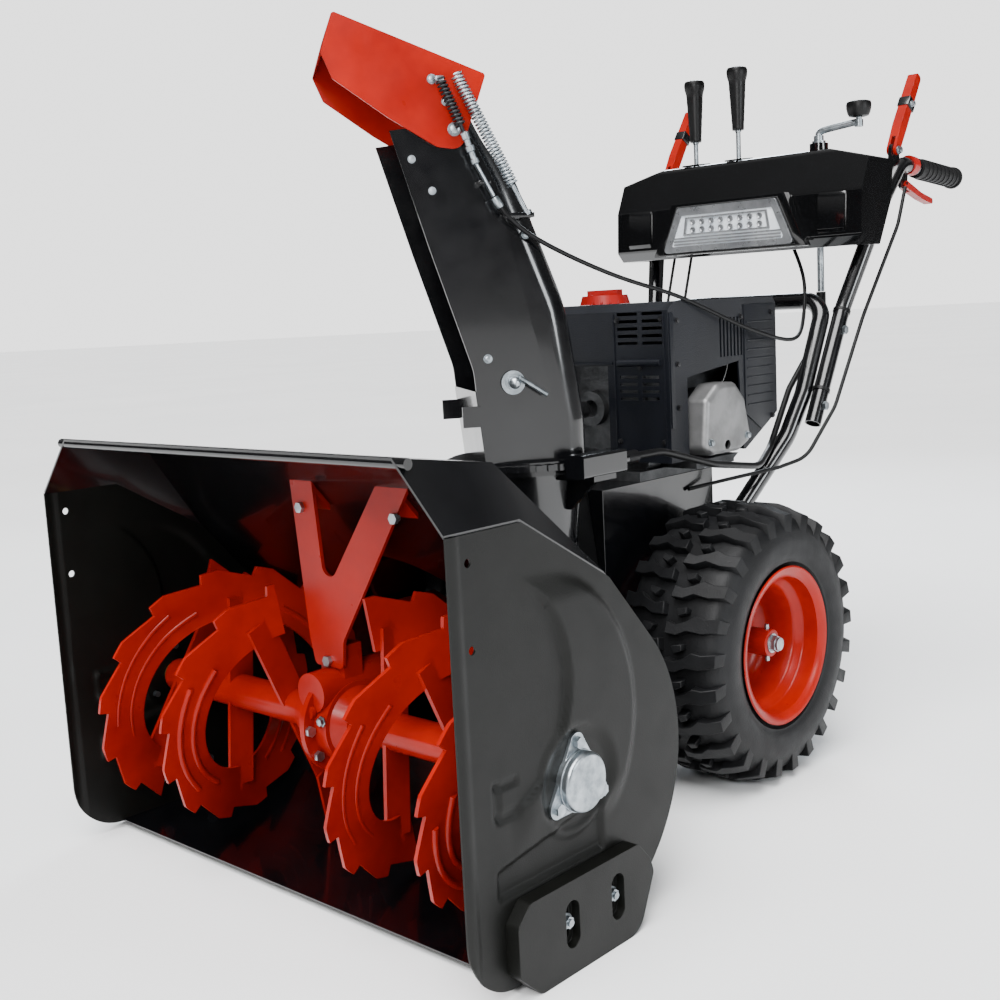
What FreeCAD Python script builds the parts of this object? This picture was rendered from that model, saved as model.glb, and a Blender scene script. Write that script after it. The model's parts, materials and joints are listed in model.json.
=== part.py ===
import FreeCAD, Part
import math
import os
from types import SimpleNamespace

import Sketcher
from FreeCAD import Placement, Rotation, Vector

# Two stage snowblower. Millimetres, +Z up, the augers point to -Y, +X is the
# machine's left side. The wheel axle lies at Y = 0 while the pieces are made;
# every piece is then moved by origin_shift, which puts the origin on the floor
# under the middle of the whole machine.

SIZES = {
    # intake housing
    "intake_half_width": 377, "sheet_gauge": 2.5, "plate_gauge": 2.5,
    "lip_y": -758, "lip_height": 563, "lip_roll": 6,
    "roof_back_y": -634, "roof_back_height": 545, "roof_half_width": 326,
    "shoulder_y": -651, "shoulder_height": 489, "hip_y": -493, "hip_height": 396,
    "shell_radius": 190, "floor_reach": 46, "toe_radius": 70,
    "accessory_hole_radius": 4.5, "accessory_hole_y": -730,
    "accessory_hole_low": 375, "accessory_hole_high": 461,
    "scraper_depth": 68, "scraper_gauge": 5,
    # augers and their gearcase
    "auger_y": -583, "auger_height": 200, "auger_radius": 172,
    "flight_inner_radius": 104, "flight_gauge": 5, "flight_start": 84, "flight_end": 352,
    "flight_turn": 330, "tooth_depth": 13, "arm_width": 38, "arm_gauge": 6,
    "auger_tube_radius": 23, "auger_shaft_radius": 12.5,
    "gearcase_half_width": 62, "gearcase_radius": 52, "tunnel_radius": 25,
    "worm_wheel_radius": 31, "worm_radius": 13, "impeller_rise": 45,
    "running_gap": 0.05, "clearance": 0.3,
    # impeller and its drum
    "drum_radius": 150, "drum_gauge": 3, "drum_back_y": -262,
    "impeller_radius": 144, "impeller_gauge": 5, "impeller_depth": 96,
    "impeller_shaft_radius": 12.5,
    "neck_radius": 57, "neck_top": 497, "neck_flare": 72, "neck_flange_radius": 94,
    # chute and deflector
    "chute_x": 96, "chute_y": -322, "chute_angle": -36, "chute_half_width": 78,
    "chute_gauge": 2.5, "ring_gauge": 8, "ring_radius": 108, "ring_teeth": 44,
    "deflector_gauge": 2.5, "hinge_s": 88, "hinge_height": 917, "hinge_bolt_radius": 4,
    # wheels and axle
    "axle_height": 203, "wheel_radius": 203, "tyre_width": 166, "wheel_x": 215,
    "bead_radius": 101, "rim_radius": 115, "rim_gauge": 3, "lug_depth": 13,
    "axle_radius": 9.5, "hub_radius": 20, "axle_inner_x": 22,
    # tractor body, engine
    "chassis_half_width": 100, "chassis_front": -168, "chassis_back": 112,
    "chassis_bottom": 130, "chassis_top": 440, "chassis_gauge": 3,
    "belt_cover_front": -206, "belt_cover_low_radius": 98, "belt_cover_high_radius": 58,
    "cover_gauge": 3,
    "engine_left": 160, "engine_right": -170, "engine_front": -81, "engine_back": 210,
    "engine_bottom": 470, "engine_top": 700, "crank_height": 545,
    "engine_pulley_radius": 42, "impeller_pulley_radius": 88, "belt_width": 13, "belt_depth": 9,
    # skid shoes and covers
    "skid_gauge": 18, "skid_top": 104, "skid_bolt_radius": 4, "skid_slot_width": 10,
    "skid_pocket_width": 22, "skid_pocket_depth": 11,
    "bearing_cap_radius": 33, "bearing_cap_height": 17, "cover_bolt_circle": 42,
    "bolt_radius": 4, "bolt_head_radius": 7, "bolt_head_height": 5.5,
    # handles and controls
    "handle_radius": 14, "handle_wall": 2, "upper_radius": 13,
    "grip_radius": 16.5, "grip_length": 148,
    "dash_half_width": 242, "dash_wall": 3, "dash_front": 338, "dash_back": 452,
    "dash_bottom": 775, "dash_top": 940,
    "lever_radius": 4, "lever_pivot_height": 858, "lever_y": 402,
    "speed_lever_x": -108, "deflector_lever_x": -20,
    "crank_x": 138, "crank_y": 396, "crank_radius": 6,
    "clutch_x": 226,
    "origin_shift": 26,
}

doc = FreeCAD.newDocument("snowblower")
sheet = doc.addObject("Spreadsheet::Sheet", "Dims")
for row, (alias, value) in enumerate(SIZES.items(), start=1):
    sheet.set(f"A{row}", alias)
    sheet.set(f"B{row}", str(value))
    sheet.setAlias(f"B{row}", alias)
doc.recompute()
d = SimpleNamespace(**{alias: float(sheet.get(alias)) for alias in SIZES})

SHIFT = Vector(0, d.origin_shift, 0)
LEFT, RIGHT = 1, -1
SIDE_NAMES = {LEFT: "left", RIGHT: "right"}
X, Y, Z = Vector(1, 0, 0), Vector(0, 1, 0), Vector(0, 0, 1)
kept = []


# ---------------------------------------------------------------- helpers
def keep(obj, label):
    """Name a finished sub-part, and move it from the axle's frame to the part's."""
    obj.Label = label
    obj.Placement = Placement(SHIFT, Rotation()).multiply(obj.Placement)
    kept.append(obj)
    return obj


def keep_shape(shape, label):
    """Hold a shape made with Part's own functions as a sub-part."""
    holder = doc.addObject("Part::Feature", label)
    holder.Shape = shape
    return keep(holder, label)


def chain(corners, closed=True):
    """Lines and tangent arcs along corners, each a (point, radius) pair."""
    count = len(corners)
    stops = []
    for i, (here, radius) in enumerate(corners):
        if radius == 0 or (not closed and i in (0, count - 1)):
            stops.append((here, None, here))
            continue
        back = (corners[i - 1][0] - here).normalize()
        ahead = (corners[(i + 1) % count][0] - here).normalize()
        half = back.getAngle(ahead) / 2
        run = radius / math.tan(half)
        inward = (back + ahead).normalize()
        middle = here + inward * (radius / math.sin(half) - radius)
        stops.append((here + back * run, middle, here + ahead * run))
    segments = []
    for i, (enter, middle, leave) in enumerate(stops):
        if middle is not None:
            segments.append(Part.Arc(enter, middle, leave))
        if closed or i < count - 1:
            following = stops[(i + 1) % count][0]
            if (following - leave).Length > 1e-6:
                segments.append(Part.LineSegment(leave, following))
    return segments


def corner(u, v, radius=0):
    return (Vector(u, v, 0), radius)


def wire(segments):
    return Part.Wire([segment.toShape() for segment in segments])


def prism_x(corners, low, high):
    """A flat outline in (y, z), extruded along X from low to high."""
    outline = wire(chain(corners))
    face = Part.Face(outline)
    face.transformShape(FreeCAD.Matrix(0, 0, 1, low, 1, 0, 0, 0, 0, 1, 0, 0, 0, 0, 0, 1))
    return face.extrude(X * (high - low))


def pipe(corners, radius, bore=0):
    """A round bar or tube along straight runs joined by tangent arcs."""
    path = wire(chain(corners, closed=False))
    start = corners[0][0]
    heading = corners[1][0] - start
    ring = Part.Wire(Part.makeCircle(radius, start, heading))
    solid = path.makePipeShell([ring], True, False)
    if bore:
        hole = Part.Wire(Part.makeCircle(bore, start, heading))
        solid = solid.cut(path.makePipeShell([hole], True, False))
    return solid


def rod(radius, start, end):
    return Part.makeCylinder(radius, (end - start).Length, start, end - start)


def box(x0, x1, y0, y1, z0, z1):
    return Part.makeBox(x1 - x0, y1 - y0, z1 - z0, Vector(x0, y0, z0))


def union(shapes):
    first, rest = shapes[0], shapes[1:]
    return first.multiFuse(rest).removeSplitter() if rest else first


def hexagon(radius, height, base, way):
    """A hexagon head or nut with its flats' corners on radius."""
    turn = Rotation(Z, way)
    points = [base + turn.multVec(Vector(radius * math.cos(math.radians(60 * i)),
                                         radius * math.sin(math.radians(60 * i)), 0))
              for i in range(7)]
    return Part.Face(Part.makePolygon(points)).extrude(Vector(way) * (height / way.Length))


def hex_bolt(seat, way, grip):
    """A hexagon bolt: its head stands on seat and points along way, its shank is grip long."""
    head = hexagon(d.bolt_head_radius, d.bolt_head_height, seat, way)
    return head.fuse(rod(d.bolt_radius, seat, seat - way * grip))


def new_body(label):
    body = doc.addObject("PartDesign::Body", label)
    body.Label = label
    return body


def add_sketch(body, role, name, outline=(), circles=(), offset=None, middle=0.0):
    """A sketch on one of the body's own origin planes, offset along its normal."""
    sketch = body.newObject("Sketcher::SketchObject", name)
    plane = next(item for item in body.Origin.OriginFeatures if item.Role == role)
    sketch.AttachmentSupport = (plane, [""])
    sketch.MapMode = "FlatFace"
    sketch.AttachmentOffset = Placement(Vector(0, 0, middle), Rotation())
    if offset:
        sketch.setExpression("AttachmentOffset.Base.z", offset)
    for segment in chain(list(outline)) if outline else []:
        sketch.addGeometry(segment, False)
    for u, v, radius in circles:
        index = sketch.addGeometry(Part.Circle(Vector(u, v, 0), Z, 1), False)
        number = sketch.addConstraint(Sketcher.Constraint("Radius", index, 1))
        sketch.setExpression(f"Constraints[{number}]", radius)
    return sketch


def add_pad(body, sketch, length, reverse=False, midplane=False):
    pad = body.newObject("PartDesign::Pad", sketch.Name + "_pad")
    pad.Profile = sketch
    pad.setExpression("Length", length)
    pad.Reversed = reverse
    pad.Midplane = midplane
    return pad


def add_pocket(body, sketch, length=None, reverse=False):
    """A pocket of the given depth, or both ways through everything."""
    pocket = body.newObject("PartDesign::Pocket", sketch.Name + "_pocket")
    pocket.Profile = sketch
    if length:
        pocket.setExpression("Length", length)
        pocket.Reversed = reverse
    else:
        pocket.Type = 1
        pocket.Midplane = True
    return pocket


def add_revolution(body, role, name, outline):
    """A half section turned once round the sketch plane's own upright axis."""
    sketch = add_sketch(body, role, name, outline)
    turned = body.newObject("PartDesign::Revolution", name + "_turned")
    turned.Profile = sketch
    turned.ReferenceAxis = (sketch, ["V_Axis"])
    turned.Angle = 360
    return turned


def cylinder(name, radius, height, base, way):
    """A Part::Cylinder whose sizes are bound to the sheet."""
    solid = doc.addObject("Part::Cylinder", name)
    solid.setExpression("Radius", radius)
    solid.setExpression("Height", height)
    solid.Placement = Placement(base, Rotation(Z, way))
    return solid


def cut(name, base, tools):
    result = base
    for count, tool in enumerate(tools):
        step = doc.addObject("Part::Cut", f"{name}_cut_{count}")
        step.Base = result
        step.Tool = tool
        result = step
    return result


def fuse(name, shapes):
    joined = doc.addObject("Part::MultiFuse", name + "_fused")
    joined.Shapes = shapes
    return joined


# ---------------------------------------------------------------- intake housing
AUGER_AXIS = Vector(0, d.auger_y, d.auger_height)
IMPELLER_Z = d.auger_height + d.impeller_rise
FLOOR_Z = d.auger_height - d.shell_radius
FLOOR_FRONT = d.auger_y - d.floor_reach


def shell_tangent(radius, roof_y, roof_z):
    """Where the back slope from the roof's edge runs on to the shell's round."""
    gap_y, gap_z = roof_y - d.auger_y, roof_z - d.auger_height
    reach = math.hypot(gap_y, gap_z)
    angle = math.atan2(gap_z, gap_y) - math.acos(radius / reach)
    return Vector(d.auger_y + radius * math.cos(angle), d.auger_height + radius * math.sin(angle), 0)


def half_space_cut(solid, through, normal):
    """The part of a solid that lies behind a plane."""
    size = 3000
    slab = Part.makeBox(size, size, size, Vector(-size / 2, -size / 2, 0))
    slab.Placement = Placement(through, Rotation(Z, normal))
    return solid.cut(slab)


def housing_block(inset, end, overhang):
    """The room inside the housing's sheet, from its outer face (inset 0) or inner one."""
    radius = d.shell_radius - inset
    roof_y, roof_z = d.roof_back_y - inset * 0.4, d.roof_back_height - inset
    tangent = shell_tangent(radius, roof_y, roof_z)
    low = Vector(d.auger_y, d.auger_height - radius, 0)
    bend = Vector(d.auger_y + radius * math.cos(math.radians(-25)),
                  d.auger_height + radius * math.sin(math.radians(-25)), 0)
    front = d.lip_y - overhang
    rise = (d.lip_height - d.roof_back_height) / (d.roof_back_y - d.lip_y)
    lip = Vector(front, roof_z + (roof_y - front) * rise, 0)
    floor_front = Vector(FLOOR_FRONT - overhang, low.y, 0)
    toe = Vector(front, low.y + (0 if overhang == 0 else -overhang), 0)
    edges = [Part.LineSegment(lip, Vector(roof_y, roof_z, 0)),
             Part.LineSegment(Vector(roof_y, roof_z, 0), tangent),
             Part.Arc(tangent, bend, low),
             Part.LineSegment(low, floor_front)]
    if overhang:
        under = Vector(floor_front.x, toe.y, 0)
        edges += [Part.LineSegment(floor_front, under), Part.LineSegment(under, toe)]
    else:
        edges.append(Part.LineSegment(floor_front, toe))
    edges.append(Part.LineSegment(toe, lip))
    face = Part.Face(wire(edges))
    face.transformShape(FreeCAD.Matrix(0, 0, 1, -end, 1, 0, 0, 0, 0, 1, 0, 0, 0, 0, 0, 1))
    block = face.extrude(X * (2 * end))
    for side in (LEFT, RIGHT):
        for through, normal in chamfer_planes(side):
            block = half_space_cut(block, through - normal * inset, normal)
    return block


def chamfer_planes(side):
    """The two slanted corner faces between the roof and a side plate."""
    edge = Vector(side * d.intake_half_width, d.shoulder_y, d.shoulder_height)
    roof = Vector(side * d.roof_half_width, d.roof_back_y, d.roof_back_height)
    hip = Vector(side * d.intake_half_width, d.hip_y, d.hip_height)
    planes = []
    for along in (Y, hip - edge):
        normal = along.cross(roof - edge).normalize()
        planes.append((edge, normal if normal.z > 0 else -normal))
    return planes


def make_auger_housing():
    end = d.intake_half_width - d.plate_gauge
    outer = housing_block(0, end, 0)
    inner = housing_block(d.sheet_gauge, end + 10, 60)
    shell = outer.cut(inner)
    lip_z = d.lip_height - d.lip_roll
    roll = rod(d.lip_roll, Vector(-d.roof_half_width, d.lip_y + d.lip_roll, lip_z),
               Vector(d.roof_half_width, d.lip_y + d.lip_roll, lip_z))
    mouth = rod(d.drum_radius, Vector(0, d.auger_y, IMPELLER_Z), Vector(0, d.drum_back_y, IMPELLER_Z))
    keep_shape(shell.cut(mouth).fuse(roll), "auger_housing")


def plate_outline():
    """The side plate's edge: the housing's own section at its ends."""
    tangent = shell_tangent(d.shell_radius, d.roof_back_y, d.roof_back_height)
    slope = (tangent.y - d.roof_back_height) / (tangent.x - d.roof_back_y)
    fall = (d.hip_height - d.shoulder_height) / (d.hip_y - d.shoulder_y)
    meet_y = ((d.shoulder_height - fall * d.shoulder_y) - (d.roof_back_height - slope * d.roof_back_y)) \
        / (slope - fall)
    meet_z = d.roof_back_height + slope * (meet_y - d.roof_back_y)
    low = Vector(d.auger_y, FLOOR_Z, 0)
    bend = Vector(d.auger_y + d.shell_radius * math.cos(math.radians(-25)),
                  d.auger_height + d.shell_radius * math.sin(math.radians(-25)), 0)
    toe = Vector(d.lip_y, FLOOR_Z, 0)
    top = Vector(d.lip_y, d.shoulder_height, 0)
    toe_arc = chain([(low, 0), (toe, d.toe_radius), (top, 0)], closed=False)
    shoulder = Vector(d.shoulder_y, d.shoulder_height, 0)
    meet = Vector(meet_y, meet_z, 0)
    return toe_arc + [Part.LineSegment(top, shoulder), Part.LineSegment(shoulder, meet),
                      Part.LineSegment(meet, tangent), Part.Arc(tangent, bend, low)]


def make_side_plate(side):
    label = "side_plate_" + SIDE_NAMES[side]
    body = new_body(label)
    inner_face = "Dims.intake_half_width - Dims.plate_gauge"
    offset = inner_face if side == LEFT else f"-({inner_face})"
    outline = add_sketch(body, "YZ_Plane", label + "_outline", offset=offset)
    for segment in plate_outline():
        outline.addGeometry(segment, False)
    add_pad(body, outline, "Dims.plate_gauge", reverse=side == RIGHT)
    holes = [(d.accessory_hole_y, d.accessory_hole_low, "Dims.accessory_hole_radius"),
             (d.accessory_hole_y, d.accessory_hole_high, "Dims.accessory_hole_radius"),
             (d.auger_y, d.auger_height, "Dims.auger_shaft_radius + 6 + Dims.running_gap")]
    holes += [(y, z, "Dims.skid_bolt_radius + Dims.running_gap") for y, z in SKID_BOLTS]
    holes += [(y, z, "Dims.bolt_radius + Dims.running_gap") for y, z in cover_bolt_places()]
    drilled = add_sketch(body, "YZ_Plane", label + "_holes", circles=holes, offset=offset)
    add_pocket(body, drilled)
    keep(body, label)


def make_scraper():
    bar = doc.addObject("Part::Box", "scraper_bar")
    bar.setExpression("Length", "2 * (Dims.intake_half_width - Dims.plate_gauge)")
    bar.setExpression("Width", "Dims.scraper_depth")
    bar.setExpression("Height", "Dims.scraper_gauge")
    bar.Placement.Base = Vector(-(d.intake_half_width - d.plate_gauge),
                                FLOOR_FRONT - 18, FLOOR_Z - d.scraper_gauge)
    keep(bar, "scraper_blade")


# ---------------------------------------------------------------- skid shoes and covers
SKID_BOLTS = ((-619, 56), (-541, 57))
SKID_SLOT_HEIGHT = 52


def slot_outline(y, z, width, height):
    half = width / 2
    low, high = z - height / 2, z + height / 2
    return [corner(y - half, low, half * 0.98), corner(y + half, low, half * 0.98),
            corner(y + half, high, half * 0.98), corner(y - half, high, half * 0.98)]


def make_skid_shoes():
    shoes = []
    sole = [corner(-704, 30, 10), corner(-672, 0, 14), corner(-503, 0, 30), corner(-474, 62, 12),
            corner(-480, 80, 8), corner(-502, d.skid_top, 10), corner(-684, d.skid_top, 10),
            corner(-704, 84, 8)]
    for side in (LEFT, RIGHT):
        inner = d.intake_half_width + (0 if side == LEFT else d.skid_gauge)
        inner *= side
        shoe = prism_x(sole, inner, inner + d.skid_gauge)
        face = side * (d.intake_half_width + d.skid_gauge)
        for y, z in SKID_BOLTS:
            slot = slot_outline(y, z, d.skid_slot_width, SKID_SLOT_HEIGHT - 12)
            pocket = slot_outline(y, z, d.skid_pocket_width, SKID_SLOT_HEIGHT)
            shoe = shoe.cut(prism_x(slot, min(0, side * 500), max(0, side * 500)))
            depth = face - side * d.skid_pocket_depth
            shoe = shoe.cut(prism_x(pocket, min(depth, side * 500), max(depth, side * 500)))
        shoes.append(shoe)
    keep_shape(Part.makeCompound(shoes), "skid_shoes")

    bolts = []
    for side in (LEFT, RIGHT):
        way = X * side
        for y, z in SKID_BOLTS:
            seat = Vector(side * (d.intake_half_width + d.skid_gauge - d.skid_pocket_depth), y, z)
            inside = Vector(side * (d.intake_half_width - d.plate_gauge), y, z)
            washer = Part.makeCylinder(9, 1.6, seat, way)
            nut = hexagon(d.bolt_head_radius, 5, seat + way * 1.6, way)
            end = seat + way * 9
            head = Part.makeCylinder(9, 2.6, inside, -way)
            bolts.append(union([rod(d.skid_bolt_radius, inside, end), washer, nut, head]))
    keep_shape(Part.makeCompound(bolts), "skid_bolts")


def cover_bolt_places():
    return [(d.auger_y + d.cover_bolt_circle * math.cos(math.radians(a)),
             d.auger_height + d.cover_bolt_circle * math.sin(math.radians(a))) for a in (90, 210, 330)]


COVER_PLATE_GAUGE = 4


def make_bearing_covers():
    covers = []
    for side in (LEFT, RIGHT):
        face = Vector(side * d.intake_half_width, d.auger_y, d.auger_height)
        way = X * side
        lobes = [Part.makeCylinder(11, COVER_PLATE_GAUGE, Vector(face.x, y, z), way)
                 for y, z in cover_bolt_places()]
        points = []
        for a in (90, 210, 330):
            for swing in (-74, 74):
                y = d.auger_y + d.cover_bolt_circle * math.cos(math.radians(a))
                z = d.auger_height + d.cover_bolt_circle * math.sin(math.radians(a))
                points.append((y + 11 * math.cos(math.radians(a + swing)),
                               z + 11 * math.sin(math.radians(a + swing))))
        low = min(face.x, face.x + side * COVER_PLATE_GAUGE)
        plate = prism_x([corner(y, z) for y, z in points], low, low + COVER_PLATE_GAUGE)
        collar = Part.makeCylinder(d.cover_bolt_circle - d.bolt_head_radius - 1, COVER_PLATE_GAUGE + 3,
                                   face, way)
        cap = Part.makeCylinder(d.bearing_cap_radius, d.bearing_cap_height, face, way)
        cap = cap.makeFillet(5, [edge for edge in cap.Edges if abs(edge.CenterOfMass.x) > abs(face.x) + 9
                                 and len(edge.Vertexes) == 1])
        room = Part.makeCylinder(d.bearing_cap_radius - 7, d.bearing_cap_height - 4, face, way)
        cover = union([plate, cap, collar] + lobes).cut(room)
        for y, z in cover_bolt_places():
            cover = cover.cut(rod(d.bolt_radius + d.running_gap, Vector(face.x - side, y, z),
                                  Vector(face.x + side * 20, y, z)))
        covers.append(cover)
    keep_shape(Part.makeCompound(covers), "bearing_covers")


# ---------------------------------------------------------------- augers
def helix_point(radius, x, degrees):
    return Vector(x, d.auger_y + radius * math.cos(math.radians(degrees)),
                  d.auger_height + radius * math.sin(math.radians(degrees)))


def flight(side, phase):
    """One serrated ribbon: a wide screw band with teeth on its edge, on two arms."""
    steps = 22
    span = d.flight_end - d.flight_start
    outer, inner = [], []
    for i in range(steps + 1):
        share = i / steps
        x = side * (d.flight_start + share * (span - d.flight_gauge))
        turn = phase - side * share * d.flight_turn
        outer.append(helix_point(d.auger_radius, x, turn))
        inner.append(helix_point(d.flight_inner_radius, x, turn))
    curves = []
    for points in (outer, inner):
        curve = Part.BSplineCurve()
        curve.interpolate(points)
        curves.append(curve.toShape())
    band = Part.makeRuledSurface(curves[0], curves[1]).extrude(X * (side * d.flight_gauge))
    return band


def tooth_cutters(side):
    """Wedges that leave saw teeth round the flights' rim, seen along the shaft."""
    teeth = 14
    wedges = []
    for i in range(teeth):
        start = 360 / teeth * i
        rim = d.auger_radius + 4
        points = [helix_point(rim, 0, start), helix_point(d.auger_radius - d.tooth_depth, 0, start + 1.5),
                  helix_point(rim, 0, start + 360 / teeth * 0.82)]
        low = min(side * 60, side * 370)
        wedges.append(prism_x([corner(p.y, p.z) for p in points], low, low + 310))
    return wedges


def make_auger(side):
    label = "auger_" + SIDE_NAMES[side]
    tube_start = d.gearcase_half_width + 5
    tube_end = d.intake_half_width - d.plate_gauge - 8
    axis = lambda x: Vector(side * x, d.auger_y, d.auger_height)
    tube = rod(d.auger_tube_radius, axis(tube_start), axis(tube_end))
    pieces = [tube]
    for phase in (100, 280):
        pieces.append(flight(side, phase))
        for share in (0.04, 0.5, 0.96):
            x = side * (d.flight_start + share * (d.flight_end - d.flight_start))
            turn = phase - side * share * d.flight_turn
            arm = Part.makeBox(d.flight_inner_radius + 26 - 12, d.arm_width, d.arm_gauge,
                               Vector(12, -d.arm_width / 2, -d.arm_gauge / 2))
            upright = Rotation(Vector(0, math.cos(math.radians(turn)), math.sin(math.radians(turn))),
                               Vector(0, 0, 0), X, "XZY")
            arm.Placement = Placement(Vector(x, d.auger_y, d.auger_height), upright)
            pieces.append(arm)
    auger = union(pieces).cut(rod(d.auger_shaft_radius + d.running_gap, axis(tube_start - 2),
                                  axis(tube_end + 2)))
    for wedge in tooth_cutters(side):
        auger = auger.cut(wedge)
    keep_shape(auger, label)


def make_auger_shaft():
    end = d.intake_half_width + 4
    shaft = rod(d.auger_shaft_radius, Vector(-end, d.auger_y, d.auger_height),
                Vector(end, d.auger_y, d.auger_height))
    keep_shape(shaft, "auger_shaft")


GEARCASE_LUG_FRONT = -596
BRACE_GAUGE = 5
FLANGE_REACH, FLANGE_GAUGE = 16, 8
SEAT_GAP = 0.05


def make_gearcase():
    centre = AUGER_AXIS
    worm_axis = Vector(0, d.auger_y, IMPELLER_Z)
    half = d.gearcase_half_width
    body = Part.makeCylinder(d.gearcase_radius, 52, centre - X * 26, X)
    flange = Part.makeCylinder(d.gearcase_radius + FLANGE_REACH, FLANGE_GAUGE,
                               centre - X * (FLANGE_GAUGE / 2), X)
    hubs = Part.makeCylinder(30, 2 * half, centre - X * half, X)
    shoulders = [Part.makeCone(46, 32, 16, centre + X * (26 * side), X * side) for side in (LEFT, RIGHT)]
    tunnel = Part.makeCylinder(d.tunnel_radius, 152, worm_axis - Y * 50, Y)
    nose = Part.makeCylinder(d.tunnel_radius + 7, 10, worm_axis + Y * 92, Y)
    plug = Part.makeCylinder(9, 6, centre + Vector(0, -d.gearcase_radius + 1, 22), -Y)
    lug = box(-22, 22, GEARCASE_LUG_FRONT, -566, IMPELLER_Z + 12, IMPELLER_Z + 54)
    case = union([body, flange, hubs, tunnel, nose, plug, lug] + shoulders)
    wheel_room = Part.makeCylinder(d.worm_wheel_radius + 5, 30, centre - X * 15, X)
    worm_room = Part.makeCylinder(d.worm_radius + 4, 80, worm_axis - Y * 42, Y)
    auger_bore = rod(d.auger_shaft_radius + d.running_gap, centre - X * (half + 1), centre + X * (half + 1))
    shaft_bore = rod(d.impeller_shaft_radius + d.running_gap, worm_axis, worm_axis + Y * 110)
    flange_holes = [rod(d.bolt_radius + d.running_gap, place + X, place - X * (FLANGE_GAUGE + 2))
                    for place in gearcase_bolt_places()]
    for room in [wheel_room, worm_room, auger_bore, shaft_bore] + flange_holes:
        case = case.cut(room)
    keep_shape(case, "gearcase")


def gearcase_bolt_places():
    """Where the flange bolts' heads sit, on the flange's left face."""
    return [helix_point(d.gearcase_radius + FLANGE_REACH / 2, FLANGE_GAUGE / 2 + SEAT_GAP, angle)
            for angle in (-50, -10, 180, 215, 250)]


def make_hex_bolts():
    """The M8 bolts: bearing covers, gearcase flange, brace and handle tubes."""
    bolts = []
    for side in (LEFT, RIGHT):
        seat_x = side * (d.intake_half_width + COVER_PLATE_GAUGE)
        bolts += [hex_bolt(Vector(seat_x, y, z), X * side, 14) for y, z in cover_bolt_places()]
    for place in gearcase_bolt_places():
        bolts.append(hex_bolt(place, X, FLANGE_GAUGE))
    for x, z in BRACE_BOLTS:
        bolts.append(hex_bolt(Vector(x, GEARCASE_LUG_FRONT - BRACE_GAUGE - SEAT_GAP, z), -Y, BRACE_GAUGE))
    for side in (LEFT, RIGHT):
        for y, z in HANDLE_BOLTS:
            seat = Vector(side * (UPPER_X + d.upper_radius + SEAT_GAP), y, z)
            bolts.append(hex_bolt(seat, X * side, 0.04))
    keep_shape(Part.makeCompound(bolts), "hex_bolts")


BRACE_BOLTS = ((0, IMPELLER_Z + 34), (-33, 470), (138, 468))


def make_brace():
    """The sheet brace from the gearcase's lug up to the housing's back slope."""
    low = IMPELLER_Z + d.tunnel_radius + 1
    outline = [corner(-26, low, 8), corner(26, low, 8),
               corner(30, IMPELLER_Z + 62, 20), corner(172, 520, 0), corner(118, 520, 0),
               corner(2, IMPELLER_Z + 118, 14), corner(-12, 520, 0), corner(-54, 520, 0),
               corner(-34, IMPELLER_Z + 60, 20)]
    face = Part.Face(wire(chain(outline)))
    face.rotate(Vector(), X, 90)
    plate = face.extrude(Y * BRACE_GAUGE)
    plate.translate(Vector(0, GEARCASE_LUG_FRONT - BRACE_GAUGE, 0))
    for x, z in BRACE_BOLTS:
        plate = plate.cut(rod(d.bolt_radius + d.running_gap, Vector(x, GEARCASE_LUG_FRONT - 10, z),
                              Vector(x, GEARCASE_LUG_FRONT + 1, z)))
    room = housing_block(d.sheet_gauge, d.intake_half_width - 10, 60)
    foot = box(-54, -12, GEARCASE_LUG_FRONT - 1, GEARCASE_LUG_FRONT + 24, 440, 540)
    feet = [foot, foot.translated(Vector(158, 0, 0))]
    below = housing_block(d.sheet_gauge + BRACE_GAUGE, d.intake_half_width - 10, 60)
    tabs = [piece.common(room).cut(below) for piece in feet]
    keep_shape(union([plate.common(room)] + tabs), "gearcase_brace")


def make_worm_wheel():
    teeth = 22
    width = 20
    wheel = Part.makeCylinder(d.worm_wheel_radius, width, AUGER_AXIS - X * (width / 2), X)
    wheel = wheel.cut(rod(d.auger_shaft_radius, AUGER_AXIS - X * 20, AUGER_AXIS + X * 20))
    for i in range(teeth):
        angle = 360 / teeth * i
        groove = Part.makeBox(width + 2, 3.4, 4.2, Vector(-width / 2 - 1, -1.7, d.worm_wheel_radius - 4))
        groove.Placement = Placement(AUGER_AXIS, Rotation(X, angle))
        wheel = wheel.cut(groove)
    keep_shape(wheel, "worm_wheel")


# ---------------------------------------------------------------- impeller, drum
IMPELLER_BACK = -284
SHAFT_BACK = -172


def make_impeller():
    axis = Vector(0, IMPELLER_BACK, IMPELLER_Z)
    hub = rod(26, axis, axis - Y * (d.impeller_depth + 4))
    paddles = [hub]
    for i in range(4):
        blade = Part.makeBox(d.impeller_radius - 22, d.impeller_depth, d.impeller_gauge,
                             Vector(20, -d.impeller_depth, 0))
        tip = Part.makeBox(d.impeller_gauge, d.impeller_depth, 26,
                           Vector(d.impeller_radius - 12, -d.impeller_depth, 0))
        blade = blade.fuse(tip)
        blade.Placement = Placement(axis, Rotation(Y, 90 * i + 20))
        paddles.append(blade)
    impeller = union(paddles).cut(rod(d.impeller_shaft_radius, axis + Y * 5, axis - Y * 120))
    keep_shape(impeller, "impeller")


def make_impeller_shaft():
    axis = Vector(0, d.auger_y, IMPELLER_Z)
    thin = rod(8, axis - Y * 38, axis + Y * 36)
    thick = rod(d.impeller_shaft_radius, axis + Y * 34, Vector(0, SHAFT_BACK, IMPELLER_Z))
    threads = [rod(d.worm_radius, axis + Y * (5.5 * i - 1.5), axis + Y * (5.5 * i + 1.5))
               for i in range(-5, 6)]
    keep_shape(union([thin, thick] + threads), "impeller_shaft")


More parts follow.
